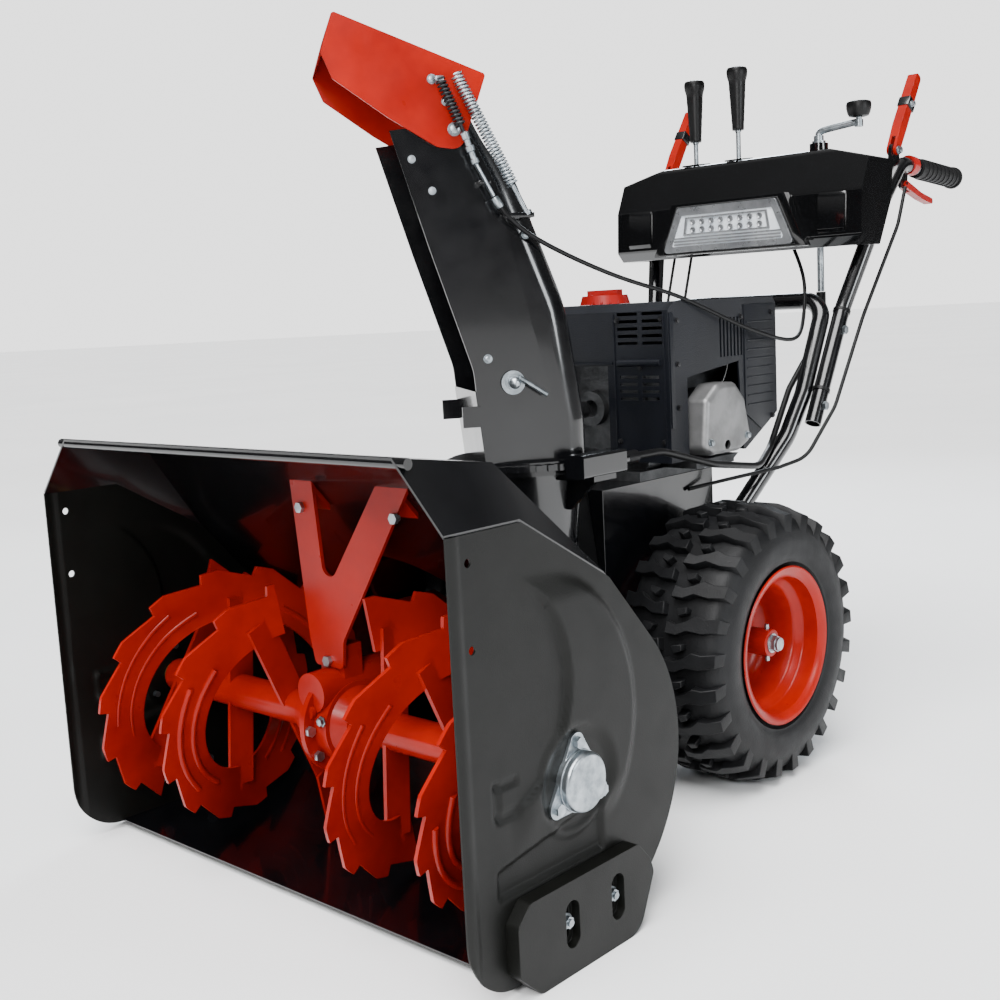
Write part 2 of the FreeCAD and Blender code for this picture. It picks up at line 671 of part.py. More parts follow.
def make_drum():
    outer = d.drum_radius + d.drum_gauge
    start = Vector(0, d.auger_y, IMPELLER_Z)
    back = Vector(0, d.drum_back_y, IMPELLER_Z)
    tube = rod(outer, start, back).cut(rod(d.drum_radius, start - Y, back + Y))
    plate = rod(outer, back, back + Y * d.drum_gauge)
    carrier = rod(32, back, Vector(0, d.belt_cover_front, IMPELLER_Z))
    neck_axis = Vector(d.chute_x, d.chute_y, 0)
    bend_z = IMPELLER_Z + 112
    flange_gauge = 7

    def neck(grow, low, high):
        straight = rod(d.neck_radius + grow, neck_axis + Z * low, neck_axis + Z * bend_z)
        flare = Part.makeCone(d.neck_radius + grow, d.neck_flare + grow, high - bend_z,
                              neck_axis + Z * bend_z, Z)
        return straight.fuse(flare)

    flange = Part.makeCylinder(d.neck_flange_radius, flange_gauge,
                               neck_axis + Z * (d.neck_top - flange_gauge), Z)
    drum = union([tube, plate, carrier, neck(d.drum_gauge, IMPELLER_Z, d.neck_top), flange])
    drum = drum.cut(rod(d.drum_radius, start - Y, back))
    top_room = Part.makeCylinder(d.neck_flare, 20, neck_axis + Z * (d.neck_top - 0.01), Z)
    drum = drum.cut(neck(0, IMPELLER_Z, d.neck_top)).cut(top_room)
    drum = drum.cut(housing_block(0, d.intake_half_width, 0))
    bore = rod(BEARING_RADIUS, back - Y * 2, Vector(0, d.belt_cover_front + 2, IMPELLER_Z))
    keep_shape(drum.cut(bore), "impeller_drum")


BEARING_RADIUS = 22


def make_bearings():
    """Bushes that carry the impeller shaft, the auger shaft and the half axles."""
    def bush(start, end, outer, bore):
        return rod(outer, start, end).cut(rod(bore, start, end))

    gap = d.running_gap
    back = Vector(0, d.drum_back_y, IMPELLER_Z)
    bushes = [bush(back + Y * 3, Vector(0, d.belt_cover_front, IMPELLER_Z), BEARING_RADIUS,
                   d.impeller_shaft_radius + gap)]
    for side in (LEFT, RIGHT):
        inner = Vector(side * (d.intake_half_width - d.plate_gauge - 5), d.auger_y, d.auger_height)
        bushes.append(bush(inner, inner + X * (side * 15), d.auger_shaft_radius + 6,
                           d.auger_shaft_radius + gap))
        wall = Vector(side * (d.chassis_half_width - d.chassis_gauge - 8), 0, d.axle_height)
        bushes.append(bush(wall, wall + X * (side * 19), BEARING_RADIUS, d.axle_radius + gap))
    keep_shape(Part.makeCompound(bushes), "bearings")


# ---------------------------------------------------------------- belt drive
PULLEY_Y = -189
PULLEY_HALF = 11
GROOVE_DEPTH = 12


def pulley(radius, centre):
    flanged = rod(radius, centre - Y * PULLEY_HALF, centre + Y * PULLEY_HALF)
    half = d.belt_width / 2 + 0.5
    groove = rod(radius + 1, centre - Y * half, centre + Y * half)
    return flanged.cut(groove.cut(rod(radius - GROOVE_DEPTH, centre - Y * half, centre + Y * half)))


def make_pulleys():
    low = Vector(0, PULLEY_Y, IMPELLER_Z)
    high = Vector(0, PULLEY_Y, d.crank_height)
    driven = pulley(d.impeller_pulley_radius, low)
    keep_shape(driven.cut(rod(d.impeller_shaft_radius, low - Y * 30, low + Y * 30)), "impeller_pulley")
    crank_end = rod(12.5, high - Y * PULLEY_HALF, Vector(0, d.engine_front + 2, d.crank_height))
    keep_shape(pulley(d.engine_pulley_radius, high).fuse(crank_end), "engine_pulley")


def belt_loop(low_radius, high_radius, start_y, depth):
    """The outline round both pulleys, extruded along Y."""
    low, high = IMPELLER_Z, d.crank_height
    lean = math.asin((low_radius - high_radius) / (high - low))
    cosine, sine = math.cos(lean), math.sin(lean)
    low_side = Vector(low_radius * cosine, low + low_radius * sine, 0)
    high_side = Vector(high_radius * cosine, high + high_radius * sine, 0)
    mirror = lambda p: Vector(-p.x, p.y, 0)
    edges = [Part.LineSegment(low_side, high_side),
             Part.Arc(high_side, Vector(0, high + high_radius, 0), mirror(high_side)),
             Part.LineSegment(mirror(high_side), mirror(low_side)),
             Part.Arc(mirror(low_side), Vector(0, low - low_radius, 0), low_side)]
    face = Part.Face(wire(edges))
    face.rotate(Vector(), X, 90)
    face.translate(Y * start_y)
    return face.extrude(Y * depth)


def make_drive_belt():
    low = d.impeller_pulley_radius - GROOVE_DEPTH + d.clearance
    high = d.engine_pulley_radius - GROOVE_DEPTH + d.clearance
    start = PULLEY_Y - d.belt_width / 2
    outer = belt_loop(low + d.belt_depth, high + d.belt_depth, start, d.belt_width)
    keep_shape(outer.cut(belt_loop(low, high, start, d.belt_width)), "drive_belt")


def make_belt_cover():
    depth = d.chassis_front - d.belt_cover_front
    wall = d.cover_gauge
    low, high = d.belt_cover_low_radius, d.belt_cover_high_radius
    shell = belt_loop(low, high, d.belt_cover_front, depth)
    room = belt_loop(low - wall, high - wall, d.belt_cover_front + wall, depth - 2 * wall)
    shell = shell.cut(room)
    front, back = d.belt_cover_front - 1, d.chassis_front + 1
    shell = shell.cut(rod(d.impeller_shaft_radius + 3, Vector(0, front, IMPELLER_Z),
                          Vector(0, front + 10, IMPELLER_Z)))
    shell = shell.cut(rod(18, Vector(0, back - 10, d.crank_height), Vector(0, back, d.crank_height)))
    keep_shape(shell, "belt_cover")


# ---------------------------------------------------------------- tractor body and wheels
def make_chassis():
    wall = d.chassis_gauge
    half = d.chassis_half_width
    outer = doc.addObject("Part::Box", "chassis_outer")
    inner = doc.addObject("Part::Box", "chassis_inner")
    for solid, shrink in ((outer, "0"), (inner, "Dims.chassis_gauge")):
        solid.setExpression("Length", f"2 * (Dims.chassis_half_width - {shrink})")
        solid.setExpression("Width", f"Dims.chassis_back - Dims.chassis_front - 2 * {shrink}")
        solid.setExpression("Height", f"Dims.chassis_top - Dims.chassis_bottom - 2 * {shrink}")
    outer.Placement.Base = Vector(-half, d.chassis_front, d.chassis_bottom)
    inner.Placement.Base = Vector(-half + wall, d.chassis_front + wall, d.chassis_bottom + wall)
    across = cylinder("axle_holes", str(BEARING_RADIUS), "2 * Dims.chassis_half_width + 40",
                      Vector(-half - 20, 0, d.axle_height), X)
    keep(cut("chassis", outer, [inner, across]), "chassis")


def make_transmission():
    """The gearbox on the axle line that both half axles run into."""
    case = doc.addObject("Part::Box", "transmission_case")
    case.Length, case.Width, case.Height = 84, 110, 230
    case.Placement.Base = Vector(-42, -55, d.chassis_bottom + d.chassis_gauge)
    bores = []
    for side in (LEFT, RIGHT):
        bores.append(cylinder("axle_bore_" + SIDE_NAMES[side], "Dims.axle_radius + Dims.running_gap",
                              "60", Vector(side * (d.axle_inner_x - 1), 0, d.axle_height), X * side))
    keep(cut("transmission", case, bores), "transmission")


def make_half_axle(side):
    label = "half_axle_" + SIDE_NAMES[side]
    way = X * side
    start = Vector(side * d.axle_inner_x, 0, d.axle_height)
    bar = rod(d.axle_radius, start, Vector(side * HUB_END + side * 14, 0, d.axle_height))
    pin_x = side * (HUB_END - 8)
    pin = rod(HUB_PIN_RADIUS, Vector(pin_x, 0, d.axle_height - HUB_PIN_REACH),
              Vector(pin_x, 0, d.axle_height + HUB_PIN_REACH))
    washer = Part.makeCylinder(14, 2, Vector(side * HUB_END, 0, d.axle_height), way)
    nut = hexagon(12, 8, Vector(side * (HUB_END + 2), 0, d.axle_height), way)
    keep_shape(union([bar, pin, washer, nut]), label)


HUB_END = 268
HUB_PIN_REACH, HUB_PIN_RADIUS = 27, 3.5


RIM_INSET, RIM_LIP = 6, 5


def make_rim(side):
    """A dished steel rim: two flanges, a drop centre, a deep dish and a hub tube."""
    label = "wheel_rim_" + SIDE_NAMES[side]
    body = new_body(label)
    half = d.tyre_width / 2 - RIM_INSET
    gauge = d.rim_gauge
    well = d.bead_radius - 16
    dish = 24
    bore = d.axle_radius + d.running_gap
    section = [corner(bore, -dish - 16), corner(d.hub_radius, -dish - 16),
               corner(d.hub_radius, -dish), corner(well - 8, -dish + 6, 10), corner(well, -dish + 14, 4),
               corner(well, 38, 4), corner(d.bead_radius, 46, 4), corner(d.bead_radius, half - RIM_LIP, 4),
               corner(d.rim_radius - 2, half - 3, 2), corner(d.rim_radius, half, 1),
               corner(d.rim_radius - 6, half + 2, 2),
               corner(d.bead_radius - gauge, half - 1, 3), corner(d.bead_radius - gauge, 50, 3),
               corner(well - gauge, 43, 3), corner(well - gauge, -dish + 20, 5),
               corner(well - 14, -dish + 10, 8), corner(d.hub_radius, -dish + gauge),
               corner(d.hub_radius, HUB_END - d.wheel_x), corner(bore, HUB_END - d.wheel_x)]
    add_revolution(body, "XY_Plane", label + "_section", section)
    back = [corner(well - gauge, -dish + 24, 0), corner(well, -dish + 24, 0), corner(well, -40, 4),
            corner(d.bead_radius, -52, 4), corner(d.bead_radius, -half + RIM_LIP, 4),
            corner(d.rim_radius, -half + 2, 2), corner(d.rim_radius, -half - 1, 0),
            corner(d.bead_radius - gauge, -half + 1, 3), corner(d.bead_radius - gauge, -54, 3),
            corner(well - gauge, -43, 3)]
    add_revolution(body, "XY_Plane", label + "_back", back)
    pin_hole = add_sketch(body, "XY_Plane", label + "_pin_hole",
                          circles=[(0, HUB_END - d.wheel_x - 8, f"{HUB_PIN_RADIUS} + Dims.clearance")])
    add_pocket(body, pin_hole)
    body.Placement = wheel_place(side)
    keep(body, label)


def wheel_place(side):
    """A wheel is turned about its own Y; this lays that axis along X, outer face outwards."""
    turn = Rotation(Y, X * side)
    level = Rotation(X, 0)
    return Placement(Vector(side * d.wheel_x, 0, d.axle_height), turn.multiply(level))


def make_tyre(side):
    """A snow tyre: a round shouldered casing with two rows of raised lugs."""
    label = "tyre_" + SIDE_NAMES[side]
    half = d.tyre_width / 2
    crown = d.wheel_radius - d.lug_depth
    bead = d.bead_radius
    seat = bead + d.clearance
    flange_face = half - RIM_INSET - RIM_LIP - d.clearance
    flange_top = d.rim_radius + 1.5
    outer = [corner(seat, flange_face, 5), corner(flange_top, flange_face, 2), corner(bead + 34, half, 20),
             corner(crown - 6, half - 12, 20), corner(crown, 0, 160)]
    inner = [corner(crown - 11, 0, 150), corner(crown - 14, half - 24, 16),
             corner(bead + 9, flange_face - 14, 5), corner(seat, flange_face - 14)]
    mirrored = lambda corners: [(Vector(p.x, -p.y, 0), radius) for p, radius in corners]
    section = outer + mirrored(outer[:-1])[::-1] + mirrored(inner[1:])[::-1] + inner
    casing = Part.Face(wire(chain(section))).revolve(Vector(), Y, 360)
    lugs = []
    count = 17
    for row in (LEFT, RIGHT):
        for i in range(count):
            angle = 360 / count * (i + (0.5 if row == RIGHT else 0))
            bar = Part.makeBox(d.lug_depth + 5, 62, 27, Vector(crown - 5, -2, -13.5))
            wedge = Part.makeBox(60, 80, 60, Vector(-30, 0, -30))
            wedge.Placement = Placement(Vector(d.wheel_radius - 3, 52, 0), Rotation(Z, -42))
            bar = bar.cut(wedge)
            side_lug = Part.makeBox(30, 12, 22, Vector(crown - 36, half - 17, -11))
            lug = bar.fuse(side_lug)
            lug.rotate(Vector(crown, 8, 0), X, 17)
            if row == RIGHT:
                lug.rotate(Vector(), X, 180)
            lug.rotate(Vector(), Y, angle)
            lugs.append(lug)
    rim_round = Part.makeCylinder(d.wheel_radius, d.tyre_width, Vector(0, -half, 0), Y)
    tyre = casing.multiFuse(lugs).common(rim_round)
    tyre = max(tyre.Solids, key=lambda solid: solid.Volume)
    tyre.Placement = wheel_place(side)
    keep_shape(tyre, label)


# ---------------------------------------------------------------- chute
# The chute is drawn in its own frame: s points the way it throws, u is its own
# left, and both turn with chute_angle about the neck's upright axis.
CHUTE_TURN = Rotation(Z, d.chute_angle)
CHUTE_PLACE = Placement(Vector(d.chute_x, d.chute_y, 0), CHUTE_TURN)


def chute_prism(corners, low, high):
    """An outline in (s, z), extruded across the chute from low to high; s points to -Y."""
    face = Part.Face(wire(chain(corners)))
    face.transformShape(FreeCAD.Matrix(0, 0, 1, low, -1, 0, 0, 0, 0, 1, 0, 0, 0, 0, 0, 1))
    return face.extrude(X * (high - low))


def chute_point(s, u, z):
    return CHUTE_PLACE.multVec(Vector(u, -s, z))


def keep_on_chute(shape, label):
    shape.Placement = CHUTE_PLACE.multiply(shape.Placement)
    return keep_shape(shape, label)


RING_LOW = 0.3


def chute_side(inset, front_grow, floor):
    """The chute's side outline; the inset moves the back wall in, and the front out."""
    return [corner(69 + front_grow, floor), corner(79 + front_grow, 627, 60),
            corner(125 + front_grow, 776, 300), corner(166 + front_grow, 918 + front_grow),
            corner(44 + inset, 932 + front_grow), corner(7 + inset, 855, 300),
            corner(-49 + inset, 700, 260), corner(-68 + inset, 556, 150), corner(-68 + inset, floor)]


def make_chute():
    half = d.chute_half_width
    base = d.neck_top + RING_LOW + d.ring_gauge
    outer = chute_prism(chute_side(0, 0, base), -half, half)
    inner = chute_prism(chute_side(d.chute_gauge, 40, base - 20), -half + d.chute_gauge,
                        half - d.chute_gauge)

    def round_back(solid, radius):
        edges = [edge for edge in solid.Edges
                 if edge.BoundBox.XLength < 0.01 and edge.BoundBox.YLength + edge.BoundBox.ZLength > 20
                 and edge.CenterOfMass.z > base and is_back_edge(edge)]
        return solid.makeFillet(radius, edges)

    shell = round_back(outer, 34).cut(round_back(inner, 34 - d.chute_gauge))
    flange = Part.makeCylinder(d.ring_radius - 8, 3, Vector(0, 0, base), Z)
    flange = flange.cut(Part.makeCylinder(66, 4, Vector(0, 0, base - 0.5), Z))
    apron = chute_prism([corner(66, base), corner(69, base), corner(78, 600), corner(75.5, 600)],
                        -half + 1, half - 1)
    tabs = [Part.makeBox(3, 24, 26, Vector(side * half - (0 if side == LEFT else 3), -96, 556))
            for side in (LEFT, RIGHT)]
    chute = union([shell, flange, apron] + tabs)
    for side in (LEFT, RIGHT):
        chute = chute.cut(rod(d.hinge_bolt_radius + d.running_gap, Vector(0, -d.hinge_s, d.hinge_height),
                              Vector(side * 120, -d.hinge_s, d.hinge_height)))
    chute = chute.cut(rod(5, Vector(0, -PIN_S, PIN_HEIGHT), Vector(half + 10, -PIN_S, PIN_HEIGHT)))
    keep_on_chute(chute, "chute")


PIN_S, PIN_HEIGHT = 30, 609


def is_back_edge(edge):
    """Whether an edge belongs to the chute's back wall: it lies behind the middle line."""
    middle = edge.CenterOfMass
    return -middle.y < 52 + (middle.z - 560) * 0.06 and edge.BoundBox.ZLength > 15


def make_chute_ring():
    teeth = int(d.ring_teeth)
    low = d.neck_top + RING_LOW
    ring = Part.makeCylinder(d.ring_radius, d.ring_gauge, Vector(0, 0, low), Z)
    ring = ring.cut(Part.makeCylinder(70, d.ring_gauge + 2, Vector(0, 0, low - 1), Z))
    for i in range(teeth):
        gap = Part.makeBox(5, 7.5, d.ring_gauge + 2, Vector(d.ring_radius - 4.5, -3.75, low - 1))
        gap.rotate(Vector(), Z, 360 / teeth * i)
        ring = ring.cut(gap)
    keep_on_chute(ring, "chute_ring_gear")


def make_chute_pins():
    """The two deflector pivot bolts and the wing pin that locks the chute's joint."""
    half = d.chute_half_width
    pins = []
    for side in (LEFT, RIGHT):
        start = Vector(side * (half - 9), -d.hinge_s, d.hinge_height)
        end = Vector(side * (half + DEFLECTOR_GAP + d.deflector_gauge + d.clearance), -d.hinge_s,
                     d.hinge_height)
        head = Part.makeCylinder(8, 3, end, X * side)
        nut = hexagon(7, 5.5, Vector(side * (half - d.chute_gauge), -d.hinge_s, d.hinge_height), X * -side)
        pins.append(union([rod(d.hinge_bolt_radius, start, end), head, nut]))
    centre = Vector(half - 6, -PIN_S, PIN_HEIGHT)
    stem = rod(4.9, centre, centre + X * 20)
    collar = rod(10, centre + X * 8.8, centre + X * 14)
    handle = rod(3.2, centre + X * 20 + Vector(0, 6, 6), centre + X * 20 + Vector(0, 40, -17))
    ball = Part.makeSphere(7.5, centre + X * 20)
    pins.append(union([stem, collar, ball, handle]))
    keep_on_chute(Part.makeCompound(pins), "chute_pins")


DEFLECTOR_GAP = 2.5


def make_deflector():
    """The hood over the chute's mouth: a roof, a lip and two hanging cheeks."""
    inner = d.chute_half_width + DEFLECTOR_GAP
    outer = inner + d.deflector_gauge
    side = [corner(46, 981, 4), corner(226, 1055, 4), corner(242, 1008, 5), corner(230, 978, 6),
            corner(168, 933, 30), corner(110, 897, 14), corner(80, 893, 16), corner(64, 934, 8),
            corner(57, 951, 6)]
    hood = chute_prism(side, -outer, outer)
    gauge = d.deflector_gauge
    room = [corner(46 + 5, 981 - 1), corner(226 - 2, 1055 - gauge - 1), corner(242 - gauge, 1008 + 1),
            corner(300, 960), corner(300, 800), corner(0, 800), corner(20, 940),
            corner(57 - 3, 951)]
    hood = hood.cut(chute_prism(room, -inner, inner))
    for way in (LEFT, RIGHT):
        hood = hood.cut(rod(d.hinge_bolt_radius + d.running_gap, Vector(0, -d.hinge_s, d.hinge_height),
                            Vector(way * 120, -d.hinge_s, d.hinge_height)))
    keep_on_chute(hood, "deflector")


def make_deflector_springs():
    """The return springs and the cable's adjuster beside the chute, off the deflector's cheek."""
    u = d.chute_half_width + DEFLECTOR_GAP + d.deflector_gauge + 14
    place = lambda s, z: Vector(u, -s, z)
    short = rod(7, place(105, 974), place(82, 919))
    eye = rod(2, place(82, 919), place(79, 912))
    adjuster = union([rod(5, place(79, 912), place(66, 874)), rod(3, place(66, 874), place(46, 835))])
    long_spring = rod(8, place(85, 979), place(22, 848))
    tail = rod(3.5, place(22, 848), place(5, 812))
    foot = Part.makeBox(u - d.chute_half_width, 36, 8, Vector(d.chute_half_width, -34, 808))
    hooks = Part.makeBox(8, 14, 8, Vector(u - 4, -112, 970))
    shelf = Part.makeBox(u + 1 - d.chute_half_width, 14, 6, Vector(d.chute_half_width, -63, 850))
    keep_on_chute(Part.makeCompound([union([short, eye, adjuster, hooks, shelf]),
                                     union([long_spring, tail, foot])]), "deflector_springs")


# ---------------------------------------------------------------- chute drive
WORM_RADIUS = 8
WORM_X = d.chute_x + d.ring_radius + WORM_RADIUS + 0.6
WORM_Z = d.neck_top + RING_LOW + d.ring_gauge / 2
WORM_FRONT, WORM_BACK = -352, -288


def make_chute_worm():
    axis = lambda y: Vector(WORM_X, y, WORM_Z)
    threads = [rod(WORM_RADIUS, axis(y), axis(y + 3)) for y in range(-348, -294, 6)]
    keep_shape(union([rod(5.5, axis(WORM_FRONT), axis(WORM_BACK + 18))] + threads), "chute_worm")


def make_chute_drive_housing():
    case = box(WORM_X - 15, WORM_X + 15, WORM_FRONT - 12, WORM_BACK + 12, WORM_Z - 15, WORM_Z + 15)
    case = case.makeFillet(4, [e for e in case.Edges if e.BoundBox.YLength > 40])
    spigot = rod(9, Vector(WORM_X, WORM_BACK + 10, WORM_Z), Vector(WORM_X, WORM_BACK + 26, WORM_Z))
    low = d.neck_top - 7
    shelf = box(d.chute_x + 60, WORM_X + 15, -345, -300, low - 9, low - 2)
    rib = box(d.chute_x + d.neck_radius + 5, WORM_X + 8, -326, -319, 440, low - 5)
    rib = rib.cut(half_space_keep(rib, Vector(WORM_X + 8, 0, low - 5), Vector(1, 0, -1.1)))
    housing = union([case, spigot, shelf, rib])
    ring_room = Part.makeCylinder(d.ring_radius + 0.8, d.ring_gauge + 2,
                                  Vector(d.chute_x, d.chute_y, WORM_Z - d.ring_gauge / 2 - 1), Z)
    chute_room = Part.makeCylinder(d.ring_radius + 0.8, 20, Vector(d.chute_x, d.chute_y, WORM_Z), Z)
    worm_room = rod(WORM_RADIUS + 0.6, Vector(WORM_X, WORM_FRONT - 2, WORM_Z),
                    Vector(WORM_X, WORM_BACK + 2, WORM_Z))
    bore = rod(5.55, Vector(WORM_X, WORM_BACK, WORM_Z), Vector(WORM_X, WORM_BACK + 30, WORM_Z))
    neck = Part.makeCylinder(d.neck_flange_radius, 7.01, Vector(d.chute_x, d.chute_y, low - 0.01), Z)
    neck_axis = Vector(d.chute_x, d.chute_y, 0)
    flare = Part.makeCone(d.neck_radius + 3, d.neck_flare + 3, d.neck_top - IMPELLER_Z - 112,
                          neck_axis + Z * (IMPELLER_Z + 112), Z)
    for room in (ring_room, chute_room, worm_room, bore, neck, flare):
        housing = housing.cut(room)
    keep_shape(housing, "chute_drive_housing")


def half_space_keep(solid, through, normal):
    """The part of a solid that lies in front of a plane."""
    return solid.cut(half_space_cut(solid, through, normal.normalize()))


# ---------------------------------------------------------------- engine
def make_engine_block():
    """Crankcase, cylinder and feet, bolted to the chassis."""
    z = d.crank_height
    case = box(-100, 96, -50, 150, 452, 640)
    case = case.makeFillet(14, [e for e in case.Edges if e.BoundBox.YLength > 150])
    feet = box(-96, 100, -78, 106, d.chassis_top, 454)
    head = box(90, 157, -15, 110, 454, 466)
    cylinder_fins = [box(94, 150, -10, 80, 600 + 10 * i, 604 + 10 * i) for i in range(6)]
    barrel = box(90, 142, 0, 70, 598, 668)
    bearing = rod(26, Vector(0, -62, z), Vector(0, 0, z))
    shroud_face = d.engine_front + d.cover_gauge
    standoffs = [box(x, x + 20, shroud_face, -45, 480, 500) for x in (-92, 72)]
    block = union([case, feet, head, barrel, bearing] + cylinder_fins + standoffs)
    block = block.cut(rod(12.55 + d.clearance, Vector(0, -90, z), Vector(0, -45, z)))
    shroud_floor = prism_x([corner(86, 400), corner(86, 459), corner(212, 528), corner(212, 400)],
                           -150, 170)
    keep_shape(block.cut(shroud_floor), "engine_block")


COVER_SIDE = ((d.engine_front, d.engine_bottom), (d.engine_front, d.engine_top - 12),
              (d.engine_front + 15, d.engine_top), (d.engine_back - 8, d.engine_top),
              (d.engine_back, d.engine_top - 10), (d.engine_back, d.engine_bottom + 50),
              (d.engine_back - 94, d.engine_bottom))
CAP_X, CAP_Y, CAP_RADIUS = -60, 60, 40


def make_engine_cover():
    """The shroud over the engine: louvred front, grilled side, open underneath."""
    wall = d.cover_gauge
    left, right = d.engine_left, d.engine_right
    outer = prism_x([corner(y, z) for y, z in COVER_SIDE], right, left)
    sill, top = d.engine_bottom - 30, d.engine_top
    front, back = d.engine_front + wall, d.engine_back - wall
    room_side = [(front, sill), (front, top - 14), (front + 13, top - wall), (back - 6, top - wall),
                 (back, top - 11), (back, d.engine_bottom + 52), (90, d.engine_bottom - 12), (90, sill)]
    cover = outer.cut(prism_x([corner(y, z) for y, z in room_side], right + wall, left - wall))
    front, back = d.engine_front - 2, d.engine_front + wall + 2
    for x0, x1, rows, low in ((70, 106, 5, 640), (114, 150, 5, 640), (72, 104, 4, 560), (112, 142, 4, 560)):
        for i in range(rows):
            z = low + 10.5 * i
            cover = cover.cut(box(x0, x1, front, back, z, z + 4.5))
    for i in range(7):
        y = 50 + 9.5 * i
        cover = cover.cut(box(left - wall - 2, left + 2, y, y + 4.5, 614, 672))
    crank = box(-60, 50, front, back, sill, 610)
    cutout = prism_x([corner(y, z) for y, z in ((-37, 440), (-37, 590), (100, 606), (112, 440))],
                     left - wall - 1, left + 1)
    bar = rod(5, Vector(70, d.engine_front - 1, 614), Vector(146, d.engine_front - 1, 614))
    neck = Part.makeCylinder(24, 14, Vector(CAP_X, CAP_Y, top - 2), Z)
    filler = Part.makeCylinder(20, 30, Vector(CAP_X, CAP_Y, top - 10), Z)
    cover = cover.cut(crank).cut(cutout).fuse(bar).fuse(neck).cut(filler)
    recoil_hole = Part.makeCylinder(88, 30, Vector(0, 195, RECOIL_Z), Y)
    keep_shape(cover.cut(recoil_hole), "engine_cover")


RECOIL_Z = 606
ROPE_X, ROPE_Z = 46, 640


def make_recoil_housing():
    body = Part.makeCylinder(86, 26, Vector(0, 150.3, RECOIL_Z), Y).fuse(
        Part.makeCone(86, 70, 40, Vector(0, 176, RECOIL_Z), Y))
    body = body.cut(Part.makeCylinder(66, 56, Vector(0, 150, RECOIL_Z), Y))
    for i in range(10):
        slot = Part.makeBox(30, 40, 6, Vector(28, 190, -3))
        slot.rotate(Vector(), Y, 36 * i + 10)
        slot.translate(Vector(0, 0, RECOIL_Z))
        body = body.cut(slot)
    guide = rod(11, Vector(ROPE_X, 205, ROPE_Z), Vector(ROPE_X, 224, ROPE_Z))
    body = body.fuse(guide).cut(rod(3, Vector(ROPE_X, 190, ROPE_Z), Vector(ROPE_X, 230, ROPE_Z)))
    keep_shape(body, "recoil_housing")


def make_recoil_handle():
    grip = rod(9, Vector(ROPE_X - 32, 234, ROPE_Z), Vector(ROPE_X + 32, 234, ROPE_Z))
    stem = rod(8, Vector(ROPE_X, 224.4, ROPE_Z), Vector(ROPE_X, 234, ROPE_Z))
    rope = rod(2.4, Vector(ROPE_X, 212, ROPE_Z), Vector(ROPE_X, 230, ROPE_Z))
    keep_shape(union([grip, stem, rope]), "recoil_handle")


MUFFLER_LEFT = 150


def make_muffler():
    can = box(96, MUFFLER_LEFT, -24, 78, 478, 570)
    can = can.makeFillet(20, [e for e in can.Edges if e.BoundBox.YLength > 90])
    outlet = rod(11, Vector(MUFFLER_LEFT, 20, 500), Vector(MUFFLER_LEFT + 8, 20, 500))
    keep_shape(can.fuse(outlet), "muffler")


def make_muffler_guard():
    """The bulging heat guard that stands out of the shroud's side."""
    outline = [corner(-34, 484, 12), corner(-26, 556, 10), corner(6, 578, 14), corner(52, 578, 14),
               corner(78, 552, 12), corner(94, 488, 14), corner(60, 474, 10), corner(-12, 474, 10)]
    shell = prism_x(outline, MUFFLER_LEFT + d.clearance, 186)
    rim = [e for e in shell.Edges if e.BoundBox.XLength < 0.1 and e.BoundBox.XMin > 185]
    shell = shell.makeFillet(9, rim)
    face = Part.Face(wire(chain(outline))).makeOffset2D(-2.5)
    face.transformShape(FreeCAD.Matrix(0, 0, 1, MUFFLER_LEFT, 1, 0, 0, 0, 0, 1, 0, 0, 0, 0, 0, 1))
    room = face.extrude(X * 31)
    keep_shape(shell.cut(room).cut(rod(7, Vector(170, 30, 490), Vector(200, 20, 484))), "muffler_guard")


def make_fuel_cap():
    axis = Vector(CAP_X, CAP_Y, 0)
    base = d.engine_top + d.clearance + 0.1
    cap = Part.makeCone(CAP_RADIUS, CAP_RADIUS - 4, 14, axis + Z * base, Z)
    room = Part.makeCylinder(24.6, 12.2, axis + Z * base, Z)
    bar = box(CAP_X - 30, CAP_X + 30, CAP_Y - 7, CAP_Y + 7, base + 12.6, base + 22.6)
    cap = union([cap, bar]).cut(room)
    for i in range(18):
        groove = Part.makeCylinder(2.2, 20, Vector(CAP_RADIUS + 0.6, 0, base - 2.4), Z)
        groove.rotate(Vector(), Z, 20 * i)
        groove.translate(axis)
        cap = cap.cut(groove)
    keep_shape(cap, "fuel_cap")


# ---------------------------------------------------------------- handles
UPPER_X = 189
HANDLE_BOLTS = ((284, 522), (352, 640))
CROSSBAR_Z = 690


def make_lower_handle():
    """The U shaped lower tube, flattened ends bolted to the chassis sides."""
    foot_x = d.chassis_half_width + d.handle_radius + d.clearance
    leg = [(Vector(foot_x, 78, 268), 0), (Vector(foot_x + 2.5, 110, 330), 60), (Vector(152, 252, 474), 90),
           (Vector(161, 290, 540), 60), (Vector(161, 368, CROSSBAR_Z), 40)]
    mirrored = [(Vector(-p.x, p.y, p.z), r) for p, r in reversed(leg)]
    tube = pipe(leg + mirrored, d.handle_radius, d.handle_radius - d.handle_wall)
    keep_shape(tube, "lower_handle")


